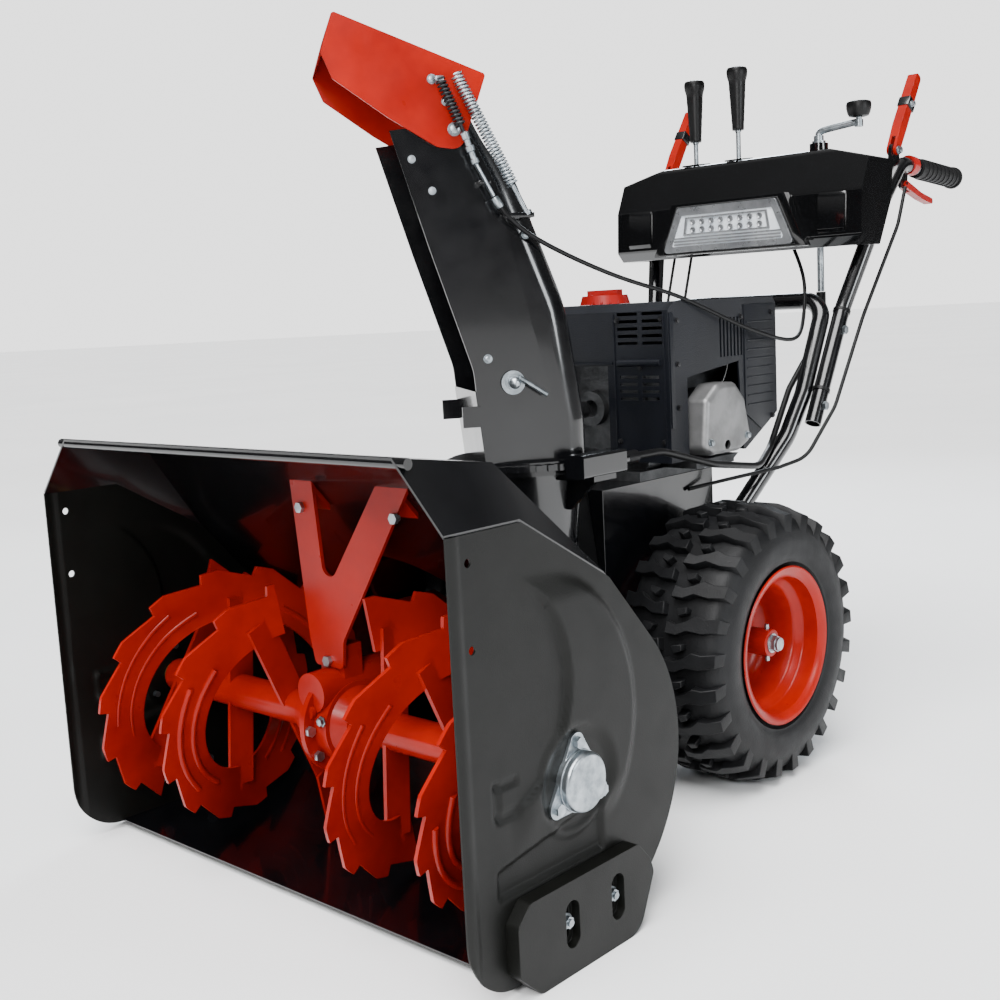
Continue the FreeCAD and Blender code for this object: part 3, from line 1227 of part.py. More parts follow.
def make_upper_handles():
    """The handlebars: made for one side with their lever lugs and pins, then mirrored."""
    side = RIGHT
    route = [(Vector(side * UPPER_X, 270, 494), 0), (Vector(side * UPPER_X, 372, 672), 140),
             (Vector(side * d.clutch_x, 448, 852), 120), (Vector(side * 230, 500, 908), 40),
             (Vector(side * 230, GRIP_END, GRIP_END_Z) + GRIP_WAY * 2, 0)]
    tube = pipe(route, d.upper_radius, d.upper_radius - d.handle_wall)
    lug = prism_x([corner(466, 880, 0), corner(506, 902, 0), corner(496, 940, 8), corner(474, 940, 8)],
                  side * d.clutch_x - 3, side * d.clutch_x + 3)
    low_lug = prism_x([corner(500, 868, 5), corner(522, 868, 5), corner(526, 900, 0),
                       corner(496, 900, 0)], side * 230 - 2.5, side * 230 + 2.5)
    pins = [rod(3, Vector(side * d.clutch_x - 9, LEVER_PIN[0], LEVER_PIN[1]),
                Vector(side * d.clutch_x + 9, LEVER_PIN[0], LEVER_PIN[1])),
            rod(2.5, Vector(side * 230 - 8, TRIGGER_PIN[0], TRIGGER_PIN[1]),
                Vector(side * 230 + 8, TRIGGER_PIN[0], TRIGGER_PIN[1]))]
    bore = rod(d.upper_radius - d.handle_wall, Vector(side * 230, 520, 906), Vector(side * 230, 500, 908))
    bar = union([tube, lug, low_lug] + pins).cut(bore)
    keep_shape(Part.makeCompound([bar, bar.mirror(Vector(), X)]), "upper_handles")


GRIP_END, GRIP_END_Z = 708, 893
GRIP_WAY = (Vector(0, 500, 908) - Vector(0, GRIP_END, GRIP_END_Z)).normalize()
LEVER_PIN = (485, 929)
TRIGGER_PIN = (511, 876)


def make_grips():
    grips = []
    for side in (LEFT, RIGHT):
        end = Vector(side * 230, GRIP_END, GRIP_END_Z)
        way = GRIP_WAY
        start = end + way * d.grip_length
        grip = rod(d.grip_radius, start, end)
        ribs = [rod(d.grip_radius + 1.2, end + way * (12 + 16 * i), end + way * (18 + 16 * i))
                for i in range(8)]
        knob = rod(d.grip_radius + 2.5, end, end + way * 5)
        grip = union([grip, knob] + ribs)
        grips.append(grip.cut(rod(d.upper_radius + d.running_gap, start + way, end + way * 1.8)))
    keep_shape(Part.makeCompound(grips), "grips")


def make_clutch_lever(side):
    """A red pressed lever that stands up from its pin and folds down on to the grip."""
    label = "clutch_lever_" + SIDE_NAMES[side]
    pin_y, pin_z = LEVER_PIN
    outline = [corner(pin_y - 12, pin_z - 2, 8), corner(pin_y + 2, pin_z - 10, 8),
               corner(pin_y + 32, pin_z + 34, 20), corner(pin_y + 90, pin_z + 124, 6),
               corner(pin_y + 74, pin_z + 132, 6), corner(pin_y + 14, pin_z + 46, 20)]
    x = side * d.clutch_x
    lever = prism_x(outline, x - 8, x + 8)
    fork = box(x - 3.5, x + 3.5, pin_y - 20, pin_y + 26, pin_z - 20, pin_z + 24)
    hole = rod(3.05, Vector(x - 20, pin_y, pin_z), Vector(x + 20, pin_y, pin_z))
    keep_shape(lever.cut(fork).cut(hole), label)


def make_trigger(side):
    label = "steering_trigger_" + SIDE_NAMES[side]
    pin_y, pin_z = TRIGGER_PIN
    outline = [corner(pin_y - 7, pin_z - 2, 4), corner(pin_y + 3, pin_z - 8, 4),
               corner(pin_y + 60, pin_z - 24, 30), corner(pin_y + 102, pin_z - 32, 4),
               corner(pin_y + 100, pin_z - 22, 4), corner(pin_y + 56, pin_z - 13, 30),
               corner(pin_y + 2, pin_z + 5, 3)]
    trigger = prism_x(outline, side * 230 - 7, side * 230 + 7)
    fork = box(side * 230 - 3, side * 230 + 3, pin_y - 20, pin_y + 20, pin_z - 24, pin_z + 20)
    hole = rod(2.55, Vector(side * 230 - 20, pin_y, pin_z), Vector(side * 230 + 20, pin_y, pin_z))
    keep_shape(trigger.cut(fork).cut(hole), label)


# ---------------------------------------------------------------- dash
def dash_outline():
    return [corner(d.dash_front + 16, d.dash_bottom, 4), corner(d.dash_front, d.dash_bottom + 16, 6),
            corner(d.dash_front + 4, 862, 10), corner(d.dash_front + 36, d.dash_top - 6, 14),
            corner(d.dash_back - 16, d.dash_top, 10), corner(d.dash_back, d.dash_top - 18, 8),
            corner(d.dash_back - 10, d.dash_bottom + 70, 10), corner(d.dash_back - 50, d.dash_bottom, 6)]


def make_dash():
    wall = d.dash_wall
    half = d.dash_half_width
    outer = prism_x(dash_outline(), -half, half)
    inner_face = Part.Face(wire(chain(dash_outline()))).makeOffset2D(-wall)
    inner_face.transformShape(FreeCAD.Matrix(0, 0, 1, -half + wall, 1, 0, 0, 0, 0, 1, 0, 0,
                                             0, 0, 0, 1))
    inner = inner_face.extrude(X * (2 * (half - wall)))
    for side in (LEFT, RIGHT):
        through = Vector(side * half, 0, 912)
        normal = Vector(side * 0.27, 0, 1).normalize()
        outer = half_space_cut(outer, through, normal)
        inner = half_space_cut(inner, through - normal * wall, normal)
    opening = box(-half + 30, half - 30, d.dash_front + 24, d.dash_back - 44,
                  d.dash_bottom - 10, d.dash_bottom + 10)
    dash = outer.cut(inner).cut(opening)
    for x in (d.speed_lever_x, d.deflector_lever_x):
        dash = dash.cut(box(x - 7, x + 7, d.lever_y - 26, d.lever_y + 26, 900, 960))
        dash = dash.fuse(bracket(x))
    boss = Part.makeCylinder(15, 14, Vector(d.crank_x, d.crank_y, 932), Z)
    dash = dash.fuse(boss.cut(inner))
    dash = dash.cut(Part.makeCylinder(d.crank_radius + d.running_gap, 60,
                                      Vector(d.crank_x, d.crank_y, 900), Z))
    for side in (LEFT, RIGHT):
        tube = [(Vector(side * UPPER_X, 270, 494), 0), (Vector(side * UPPER_X, 372, 672), 140),
                (Vector(side * d.clutch_x, 448, 852), 120), (Vector(side * 230, 500, 908), 0)]
        dash = dash.cut(pipe(tube, d.upper_radius + d.running_gap))
    solids = sorted(dash.Solids, key=lambda solid: solid.Volume)
    keep_shape(solids[-1], "dash_panel")


def bracket(x):
    """A hanger inside the dash with the pin that a shift lever turns on."""
    cheek = box(x - 11, x - 8, d.lever_y - 12, d.lever_y + 12, d.lever_pivot_height - 12, 936)
    far_cheek = cheek.translated(Vector(19, 0, 0))
    pivot = Vector(x, d.lever_y, d.lever_pivot_height)
    pin = rod(3, pivot - X * 11, pivot + X * 11)
    return union([cheek, far_cheek, pin])


def make_headlight():
    front = d.dash_front - 16
    outline = [corner(-130, 784, 6), corner(130, 784, 6), corner(97, 860, 6), corner(-97, 860, 6)]
    face = Part.Face(wire(chain(outline)))
    face.rotate(Vector(), X, 90)
    shell = face.extrude(Y * 16)
    shell.translate(Y * front)
    recess = Part.Face(wire(chain([corner(-112, 794, 4), corner(112, 794, 4), corner(90, 846, 4),
                                   corner(-90, 846, 4)])))
    recess.rotate(Vector(), X, 90)
    hollow = recess.extrude(Y * 11)
    hollow.translate(Y * (front - 1))
    shell = shell.cut(hollow).cut(prism_x(dash_outline(), -200, 200))
    keep_shape(shell, "headlight_housing")
    lens = recess.extrude(Y * 3)
    lens.translate(Y * (front + 2))
    keep_shape(lens, "headlight_lens")


def make_shift_lever(x, top, label):
    """A steel stalk on a dash pin, with a tapered knob."""
    eye = Part.makeCylinder(8, 12, Vector(x - 6, d.lever_y, d.lever_pivot_height), X)
    stalk = rod(d.lever_radius, Vector(x, d.lever_y, d.lever_pivot_height), Vector(x, d.lever_y, top - 90))
    hole = Part.makeCylinder(3.05, 30, Vector(x - 15, d.lever_y, d.lever_pivot_height), X)
    stalk = stalk.fuse(eye).cut(hole)
    base = Vector(x, d.lever_y, top - 108)
    knob = union([Part.makeCone(10, 15, 84, base, Z), Part.makeCone(15, 18, 14, base + Z * 84, Z),
                  Part.makeCone(18, 15, 8, base + Z * 98, Z)])
    knob = knob.cut(Part.makeCylinder(d.lever_radius, 19, base - Z, Z))
    keep_shape(Part.makeCompound([stalk, knob]), label)


def make_crank():
    """The chute crank: an upright rod, a bent arm over the dash and a turning knob."""
    foot = Vector(d.crank_x, d.crank_y, 704)
    rise = Vector(d.crank_x, d.crank_y, 962)
    reach = Vector(d.crank_x + 69, d.crank_y + 6, 972)
    arm = pipe([(foot, 0), (rise, 16), (reach, 0)], d.crank_radius)
    stem = rod(4.5, reach - Z * 6, reach + Z * 16)
    collar = Part.makeCylinder(11, 4, Vector(d.crank_x, d.crank_y, 946.4), Z)
    knob = union([Part.makeCone(10, 17, 10, reach + Z * 8, Z), Part.makeCone(17, 14, 10, reach + Z * 18, Z)])
    knob = knob.cut(rod(4.5, reach, reach + Z * 16))
    keep_shape(Part.makeCompound([union([arm, stem, collar]), knob]), "chute_crank")


# ---------------------------------------------------------------- cables
def make_flex_shaft():
    """The flexible shaft in its casing, from the chute's worm to the crank rod."""
    start = Vector(WORM_X, WORM_BACK + 26.3, WORM_Z)
    route = [(start, 0), (Vector(WORM_X, -180, WORM_Z), 120), (Vector(204, -40, 466), 150),
             (Vector(192, 100, 446), 120), (Vector(148, 206, 462), 60), (Vector(132, 296, 548), 90),
             (Vector(d.crank_x, d.crank_y, 640), 60), (Vector(d.crank_x, d.crank_y, 703.4), 0)]
    casing = pipe(route, 5)
    ferrule = rod(8.5, start, start + Y * 24)
    nose = rod(8, Vector(d.crank_x, d.crank_y, 703.4), Vector(d.crank_x, d.crank_y, 676))
    keep_shape(union([casing, ferrule, nose]), "chute_flex_shaft")


def make_control_cables():
    cables = []
    for side in (LEFT, RIGHT):
        turn = lambda x, y, z, r: (Vector(side * x, y, z), r)
        clutch = [turn(246, 486, 868, 0), turn(249, 452, 806, 60), turn(216, 392, 660, 90),
                  turn(213, 300, 520, 90), turn(196, 236, 444, 60), turn(172, 190, 432, 40),
                  turn(124, 110, 420, 50), turn(d.chassis_half_width + 3.4, 40, 414, 0)]
        cables.append(pipe(clutch, 3))
    for x in (-140, -104):
        shift = [(Vector(x, 380, 800), 0), (Vector(x, 340, 680), 200), (Vector(x * 0.8, 250, 440), 60),
                 (Vector(x * 0.55, d.chassis_back + 1.4, 404), 0)]
        cables.append(pipe(shift, 2.5))
    keep_shape(Part.makeCompound(cables), "control_cables")


def make_deflector_cable():
    """The cable that pulls the deflector, from its adjuster to the dash's underside."""
    u = d.chute_half_width + DEFLECTOR_GAP + d.deflector_gauge + 14
    start = chute_point(45.6, u, 834.2)
    second = chute_point(20, u + 12, 790)
    route = [(start, 0), (second, 60), (Vector(150, -170, 730), 160), (Vector(160, -60, 718), 200),
             (Vector(176, 60, 668), 160), (Vector(184, 170, 640), 120), (Vector(176, 240, 634), 60),
             (Vector(150, 300, 660), 50), (Vector(120, 376, 730), 60), (Vector(84, 384, 800), 0)]
    keep_shape(pipe(route, 3), "deflector_cable")


# ---------------------------------------------------------------- the whole machine
def make_all():
    make_auger_housing()
    make_scraper()
    make_skid_shoes()
    make_bearing_covers()
    make_gearcase()
    make_hex_bolts()
    make_brace()
    make_worm_wheel()
    make_auger_shaft()
    make_impeller()
    make_impeller_shaft()
    make_drum()
    make_bearings()
    make_pulleys()
    make_drive_belt()
    make_belt_cover()
    make_chassis()
    make_transmission()
    for side in (LEFT, RIGHT):
        make_side_plate(side)
        make_auger(side)
        make_half_axle(side)
        make_rim(side)
        make_tyre(side)
        make_clutch_lever(side)
        make_trigger(side)
    make_chute()
    make_chute_ring()
    make_chute_pins()
    make_deflector()
    make_deflector_springs()
    make_chute_worm()
    make_chute_drive_housing()
    make_engine_block()
    make_engine_cover()
    make_recoil_housing()
    make_recoil_handle()
    make_muffler()
    make_muffler_guard()
    make_fuel_cap()
    make_lower_handle()
    make_upper_handles()
    make_grips()
    make_dash()
    make_headlight()
    make_shift_lever(d.speed_lever_x, 1086, "speed_lever")
    make_shift_lever(d.deflector_lever_x, 1096, "deflector_lever")
    make_crank()
    make_flex_shaft()
    make_control_cables()
    make_deflector_cable()


def check_and_write():
    """Refuse failed objects and bad shapes, then write one STEP file for each sub-part."""
    doc.recompute()
    for obj in doc.Objects:
        assert not {"Invalid", "Error"} & set(obj.State), obj.Label
    os.makedirs("parts", exist_ok=True)
    for obj in kept:
        shape = obj.Shape
        assert not shape.isNull() and shape.isValid() and shape.Solids, obj.Label
        shape.exportStep(f"parts/{obj.Label}.step")
        print(obj.Label, len(shape.Solids), "solids", round(shape.Volume), "mm3")


make_all()
check_and_write()
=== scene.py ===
import json
import math

import bmesh
import bpy
from mathutils import Matrix, Vector


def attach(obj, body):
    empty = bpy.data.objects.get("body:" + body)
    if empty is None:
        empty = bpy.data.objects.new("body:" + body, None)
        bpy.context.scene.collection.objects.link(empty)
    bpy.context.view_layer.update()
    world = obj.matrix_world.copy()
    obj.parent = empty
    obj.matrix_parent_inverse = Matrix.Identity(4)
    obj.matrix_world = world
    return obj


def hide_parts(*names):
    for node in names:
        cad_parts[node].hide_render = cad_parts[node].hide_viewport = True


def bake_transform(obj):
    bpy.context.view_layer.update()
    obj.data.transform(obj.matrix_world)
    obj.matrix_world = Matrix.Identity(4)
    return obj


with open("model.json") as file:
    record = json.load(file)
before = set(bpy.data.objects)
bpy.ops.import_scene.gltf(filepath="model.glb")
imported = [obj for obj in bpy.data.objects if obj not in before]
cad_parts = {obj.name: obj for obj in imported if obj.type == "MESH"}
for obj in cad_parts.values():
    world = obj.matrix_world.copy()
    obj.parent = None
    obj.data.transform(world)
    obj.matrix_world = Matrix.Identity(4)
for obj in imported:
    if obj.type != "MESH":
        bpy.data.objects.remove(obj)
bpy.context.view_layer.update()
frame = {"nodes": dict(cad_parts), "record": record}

AXLE_Y = 26
SIDES = (("left", 1), ("right", -1))
X, Y, Z = Vector((1, 0, 0)), Vector((0, 1, 0)), Vector((0, 0, 1))


def at(x, y, z):
    """A point given in millimetres from the floor under the wheel axle."""
    return Vector((x, y + AXLE_Y, z)) / 1000


# ---------------------------------------------------------------- camera and light
LENS, SENSOR = 46.62, 36
CAMERA_PLACE, CAMERA_ROLL = (1.2297, -1.5715, 0.6971), math.radians(-2.9)
CAMERA_AHEAD = Vector((-0.67366, 0.72495, -0.14362))


def make_camera():
    data = bpy.data.cameras.new("camera")
    data.lens, data.sensor_width = LENS, SENSOR
    data.clip_start, data.clip_end = 0.05, 60
    camera = bpy.data.objects.new("camera", data)
    bpy.context.scene.collection.objects.link(camera)
    ahead = CAMERA_AHEAD.normalized()
    right = ahead.cross(Z).normalized()
    up = right.cross(ahead)
    across = math.cos(CAMERA_ROLL) * right + math.sin(CAMERA_ROLL) * up
    above = -math.sin(CAMERA_ROLL) * right + math.cos(CAMERA_ROLL) * up
    turn = Matrix((across, above, -ahead)).transposed().to_4x4()
    camera.matrix_world = Matrix.Translation(CAMERA_PLACE) @ turn
    bpy.context.scene.camera = camera


def make_light(name, place, aim, size, power, colour=(1, 1, 1)):
    data = bpy.data.lights.new(name, "AREA")
    data.shape, data.size, data.energy, data.color = "DISK", size, power, colour
    light = bpy.data.objects.new(name, data)
    light.location = place
    light.rotation_euler = (Vector(aim) - Vector(place)).to_track_quat("-Z", "Y").to_euler()
    bpy.context.scene.collection.objects.link(light)


# ---------------------------------------------------------------- node trees
class Wire:
    """An output socket of a node tree, on which arithmetic adds Math nodes."""

    def __init__(self, tree, socket):
        self.tree, self.socket = tree, socket

    def __add__(self, other):
        return self.tree.maths("ADD", self, other)

    def __radd__(self, other):
        return self.tree.maths("ADD", other, self)

    def __mul__(self, other):
        return self.tree.maths("MULTIPLY", self, other)


class Tree:
    """A shader or geometry node tree and the one method that adds nodes to it."""

    def __init__(self, tree):
        self.tree = tree

    def node(self, kind, settings=None, inputs=None, output=0):
        made = self.tree.nodes.new(kind)
        for name, value in (settings or {}).items():
            if name == "stops":
                set_stops(made.color_ramp, value)
            else:
                setattr(made, name, value)
        for key, value in (inputs or {}).items():
            socket = made.inputs[key]
            if isinstance(value, Wire):
                self.tree.links.new(value.socket, socket)
            else:
                socket.default_value = value
        return Wire(self, made.outputs[output]) if made.outputs else made

    def maths(self, operation, first, second=0.0):
        return self.node("ShaderNodeMath", {"operation": operation}, {0: first, 1: second})


def set_stops(ramp, stops):
    while len(ramp.elements) < len(stops):
        ramp.elements.new(1.0)
    for element, (place, level) in zip(ramp.elements, stops):
        element.position = place
        element.color = (*level, 1) if hasattr(level, "__len__") else (level, level, level, 1)


class Finish(Tree):
    """A material made of one Principled shader; its patterns lie in object space."""

    def __init__(self, name):
        self.material = bpy.data.materials.new(name)
        self.material.use_nodes = True
        super().__init__(self.material.node_tree)
        self.tree.nodes.clear()
        self.space = self.node("ShaderNodeTexCoord", output="Object")

    def noise(self, scale, detail=3.0, rough=0.5):
        return self.node("ShaderNodeTexNoise", None,
                         {"Vector": self.space, "Scale": scale, "Detail": detail, "Roughness": rough})

    def mottle(self, dark, light, scale):
        """Two shades of one colour in soft clouds."""
        return self.node("ShaderNodeValToRGB", {"stops": ((0.35, dark), (0.65, light))},
                         {0: self.noise(scale, 4.0, 0.6)})

    def cells(self, scale):
        return self.node("ShaderNodeTexVoronoi", None, {"Vector": self.space, "Scale": scale})

    def bump(self, height, depth, strength=0.6):
        return self.node("ShaderNodeBump", None,
                         {"Height": height, "Distance": depth, "Strength": strength})

    def close(self, colour, rough, normal=None, **constants):
        inputs = {"Base Color": colour, "Roughness": rough, **constants}
        if normal:
            inputs["Normal"] = normal
        shader = self.node("ShaderNodeBsdfPrincipled", None, inputs)
        self.node("ShaderNodeOutputMaterial", None, {"Surface": shader})
        return self.material


def gloss_black():
    """Baked gloss enamel on pressed sheet, with a faint orange peel."""
    f = Finish("gloss_black")
    colour = f.mottle((0.0010, 0.0011, 0.0015), (0.0021, 0.0023, 0.0030), 7)
    rough = 0.14 + f.noise(38, 4) * 0.16
    peel = f.bump(f.noise(300, 2), 0.0003, 0.08)
    return f.close(colour, rough, peel, **{"Coat Weight": 0.5, "Coat Roughness": 0.06})


def satin_black():
    """Powder coat with a fine tooth, a little dusty."""
    f = Finish("satin_black")
    colour = f.mottle((0.0024, 0.0025, 0.0021), (0.0043, 0.0045, 0.0038), 5)
    rough = 0.34 + f.noise(24, 5) * 0.2
    return f.close(colour, rough, f.bump(f.noise(700, 3), 0.0005, 0.4), **{"Specular IOR Level": 0.2})


def red_paint():
    """Orange red enamel in soft clouds, with a few small chips."""
    f = Finish("red_paint")
    paint_coat = f.mottle((0.235, 0.0036, 0.0005), (0.335, 0.0066, 0.0009), 9)
    chips = f.node("ShaderNodeValToRGB", {"stops": ((0.735, 0.0), (0.76, 1.0))},
                   {0: f.noise(26, 8, 0.72)})
    colour = f.node("ShaderNodeMix", {"data_type": "RGBA"},
                    {0: chips, 6: paint_coat, 7: (0.10, 0.012, 0.006, 1)}, output=2)
    rough = 0.22 + f.noise(30, 4) * 0.18
    peel = f.bump(f.noise(260, 2), 0.0003, 0.10)
    return f.close(colour, rough, peel, **{"Coat Weight": 0.05, "Coat Roughness": 0.1,
                                           "Specular IOR Level": 0.2})


def zinc():
    """Bright zinc plate with a soft, cloudy sheen."""
    f = Finish("zinc")
    colour = f.mottle((0.24, 0.27, 0.29), (0.46, 0.50, 0.53), 60)
    rough = 0.24 + f.noise(90, 4) * 0.24
    return f.close(colour, rough, f.bump(f.noise(500, 3), 0.0003, 0.3), Metallic=1.0)


def dark_steel():
    """Oiled black steel, blotched and dull."""
    f = Finish("dark_steel")
    colour = f.mottle((0.022, 0.022, 0.024), (0.055, 0.055, 0.058), 40)
    rough = 0.32 + f.noise(120, 4) * 0.25
    return f.close(colour, rough, f.bump(f.noise(600, 3), 0.0003, 0.3), Metallic=0.9)


def bronze():
    f = Finish("bronze")
    colour = f.mottle((0.34, 0.19, 0.07), (0.52, 0.31, 0.12), 45)
    rough = 0.3 + f.noise(80, 4) * 0.2
    return f.close(colour, rough, f.bump(f.noise(450, 3), 0.0003, 0.3), Metallic=1.0)


def cast_aluminium():
    """Sand cast skin: pale, pebbly and uneven in gloss."""
    f = Finish("cast_aluminium")
    colour = f.mottle((0.055, 0.057, 0.060), (0.115, 0.118, 0.122), 30)
    rough = 0.42 + f.noise(70, 4) * 0.2
    return f.close(colour, rough, f.bump(f.noise(260, 5, 0.7), 0.0012, 0.5), Metallic=0.9)


def engine_plastic():
    """Moulded shroud plastic, blue grey, with a leather grain."""
    f = Finish("engine_plastic")
    colour = f.mottle((0.0026, 0.0032, 0.0052), (0.0052, 0.0063, 0.0095), 8)
    rough = 0.33 + f.noise(26, 4) * 0.16
    return f.close(colour, rough, f.bump(f.cells(520), 0.0006, 0.35), **{"Specular IOR Level": 0.3})


def heat_guard():
    """Aluminised sheet that heat has dulled and tinted a little."""
    f = Finish("heat_guard")
    colour = f.mottle((0.15, 0.15, 0.15), (0.26, 0.26, 0.262), 16)
    rough = 0.36 + f.noise(45, 4) * 0.2
    return f.close(colour, rough, f.bump(f.noise(320, 3), 0.0004, 0.35), Metallic=0.75)


def red_plastic():
    f = Finish("red_plastic")
    colour = f.mottle((0.25, 0.0036, 0.0022), (0.34, 0.006, 0.004), 12)
    rough = 0.28 + f.noise(50, 4) * 0.14
    return f.close(colour, rough, f.bump(f.noise(520, 3), 0.0003, 0.3), **{"Specular IOR Level": 0.35})


def black_plastic():
    f = Finish("black_plastic")
    colour = f.mottle((0.0012, 0.0012, 0.0014), (0.0028, 0.0028, 0.0031), 14)
    rough = 0.3 + f.noise(40, 4) * 0.18
    return f.close(colour, rough, f.bump(f.noise(640, 3), 0.0004, 0.35), **{"Specular IOR Level": 0.25})


def dash_plastic():
    """Piano black moulding with the faint swirls of handling."""
    f = Finish("dash_plastic")
    colour = f.mottle((0.0010, 0.0011, 0.0013), (0.0020, 0.0021, 0.0025), 5)
    rough = 0.08 + f.noise(14, 4) * 0.1
    return f.close(colour, rough, f.bump(f.noise(36, 2), 0.0003, 0.06),
                   **{"Coat Weight": 0.6, "Coat Roughness": 0.04})


def silver_plastic():
    f = Finish("silver_plastic")
    colour = f.mottle((0.17, 0.175, 0.185), (0.27, 0.28, 0.29), 30)
    rough = 0.22 + f.noise(70, 4) * 0.14
    return f.close(colour, rough, f.bump(f.noise(800, 2), 0.0002, 0.25), Metallic=0.7)


def lens():
    """Pale, faintly frosted plastic over the lamps."""
    f = Finish("lens")
    colour = f.mottle((0.62, 0.68, 0.74), (0.84, 0.88, 0.92), 24)
    rough = 0.06 + f.noise(140, 3) * 0.12
    return f.close(colour, rough, f.bump(f.noise(160, 2), 0.0004, 0.25),
                   **{"Coat Weight": 0.5, "Coat Roughness": 0.03})


def grip_rubber():
    f = Finish("grip_rubber")
    colour = f.mottle((0.0022, 0.0022, 0.0025), (0.0046, 0.0046, 0.0050), 30)
    rough = 0.5 + f.noise(90, 4) * 0.2
    return f.close(colour, rough, f.bump(f.cells(700), 0.0005, 0.4), **{"Specular IOR Level": 0.25})


def cable_black():
    f = Finish("cable_black")
    colour = f.mottle((0.0018, 0.0018, 0.0021), (0.0040, 0.0040, 0.0044), 40)
    rough = 0.34 + f.noise(110, 3) * 0.16
    return f.close(colour, rough, f.bump(f.noise(900, 2), 0.0002, 0.3), **{"Specular IOR Level": 0.2})


def belt_rubber():
    f = Finish("belt_rubber")
    colour = f.mottle((0.005, 0.0046, 0.0042), (0.010, 0.0095, 0.0085), 60)
    return f.close(colour, 0.62 + f.noise(120, 4) * 0.2, f.bump(f.noise(800, 3), 0.0004, 0.4))


def tyre_rubber():
    """Tyre compound: charcoal, scuffed paler, with a fine moulded skin."""
    f = Finish("tyre_rubber")
    colour = f.mottle((0.0016, 0.0017, 0.0021), (0.0050, 0.0052, 0.0060), 18)
    rough = 0.42 + f.noise(46, 5) * 0.26
    height = f.noise(420, 4) + f.noise(60, 3) * 0.6
    return f.close(colour, rough, f.bump(height, 0.0008, 0.4), **{"Specular IOR Level": 0.25})


def floor_paint():
    f = Finish("floor_paint")
    return f.close(f.mottle((0.86, 0.865, 0.87), (0.90, 0.905, 0.91), 0.8), 0.75 + f.noise(3) * 0.1)


FINISHES = {make.__name__: make() for make in (
    gloss_black, satin_black, red_paint, zinc, dark_steel, bronze, cast_aluminium, engine_plastic,
    heat_guard, red_plastic, black_plastic, dash_plastic, silver_plastic, lens, grip_rubber,
    cable_black, belt_rubber, tyre_rubber)}

SLOT_OF = {row["node"]: row["material_slot"] for row in frame["record"]["subparts"]}


def paint(piece, slot):
    piece.data.materials.clear()
    piece.data.materials.append(FINISHES[slot])


for node, slot in SLOT_OF.items():
    paint(frame["nodes"][node], slot)


# ---------------------------------------------------------------- making pieces
def shade(mesh, angle=35):
    """Smooth shading that breaks at the creases."""
    mesh.polygons.foreach_set("use_smooth", [True] * len(mesh.polygons))
    mesh.set_sharp_from_angle(angle=math.radians(angle))


def add_piece(name, mesh, body, slot, replaces=(), angle=35):
    """A mesh made a piece of the object; with no body named, it is attached to none."""
    piece = bpy.data.objects.new(name, mesh)
    bpy.context.scene.collection.objects.link(piece)
    paint(piece, slot)
    shade(mesh, angle)
    if body:
        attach(piece, body)
    if replaces:
        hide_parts(*replaces)
    return piece


def mesh_of(bm, name):
    mesh = bpy.data.meshes.new(name)
    bm.to_mesh(mesh)
    bm.free()
    return mesh


def baked(piece, name):
    """The piece with its modifiers applied, as a plain mesh; the piece itself is removed."""
    view = bpy.context.evaluated_depsgraph_get()
    view.update()
    mesh = bpy.data.meshes.new_from_object(piece.evaluated_get(view))
    mesh.name = name
    bpy.data.objects.remove(piece)
    return mesh


def solid_copy(node):
    """A CAD node's own mesh, merged and with its flat faces whole."""
    bm = bmesh.new()
    bm.from_mesh(frame["nodes"][node].data)
    bmesh.ops.remove_doubles(bm, verts=bm.verts, dist=1e-5)
    bmesh.ops.dissolve_limit(bm, angle_limit=math.radians(1), verts=bm.verts, edges=bm.edges)
    return bm


def bevelled(bm, width, angle=32, segments=2):
    edges = [e for e in bm.edges if len(e.link_faces) == 2
             and e.calc_face_angle() > math.radians(angle)]
    bmesh.ops.bevel(bm, geom=edges, offset=width, offset_type="WIDTH", segments=segments,
                    profile=0.6, affect="EDGES", clamp_overlap=True)
    return bm


def ease(node, body, width):
    """A CAD node shown with its edges broken, as sheet, castings and mouldings are."""
    mesh = mesh_of(bevelled(solid_copy(node), width / 1000), node + "_eased")
    piece = add_piece(node + "_eased", mesh, body, SLOT_OF[node], (node,), 40)
    even = piece.modifiers.new("even_faces", "WEIGHTED_NORMAL")
    even.keep_sharp, even.weight = True, 100


def lathe(name, profile, start, way, body, slot, replaces=(), steps=48, closed=False):
    """Turns (radius, distance) pairs, in millimetres, about a line through start."""
    way = Vector(way).normalized()
    side = way.orthogonal().normalized()
    across = way.cross(side)
    bm = bmesh.new()
    rings = []
    for radius, along in profile:
        base = start + way * (along / 1000)
        if radius < 1e-6:
            rings.append([bm.verts.new(base)])
            continue
        rings.append([bm.verts.new(base + (side * math.cos(t) + across * math.sin(t)) * (radius / 1000))
                      for t in (math.tau * i / steps for i in range(steps))])
    pairs = list(zip(rings, rings[1:])) + ([(rings[-1], rings[0])] if closed else [])
    for low, high in pairs:
        for i in range(steps):
            j = (i + 1) % steps
            loop = [low[i % len(low)], low[j % len(low)], high[j % len(high)], high[i % len(high)]]
            corners = list(dict.fromkeys(loop))
            if len(corners) > 2:
                bm.faces.new(corners)
    if not closed:
        for ring, flip in ((rings[0], True), (rings[-1], False)):
            if len(ring) > 2:
                bm.faces.new(ring[::-1] if flip else ring)
    bmesh.ops.recalc_face_normals(bm, faces=bm.faces)
    return add_piece(name, mesh_of(bm, name), body, slot, replaces)


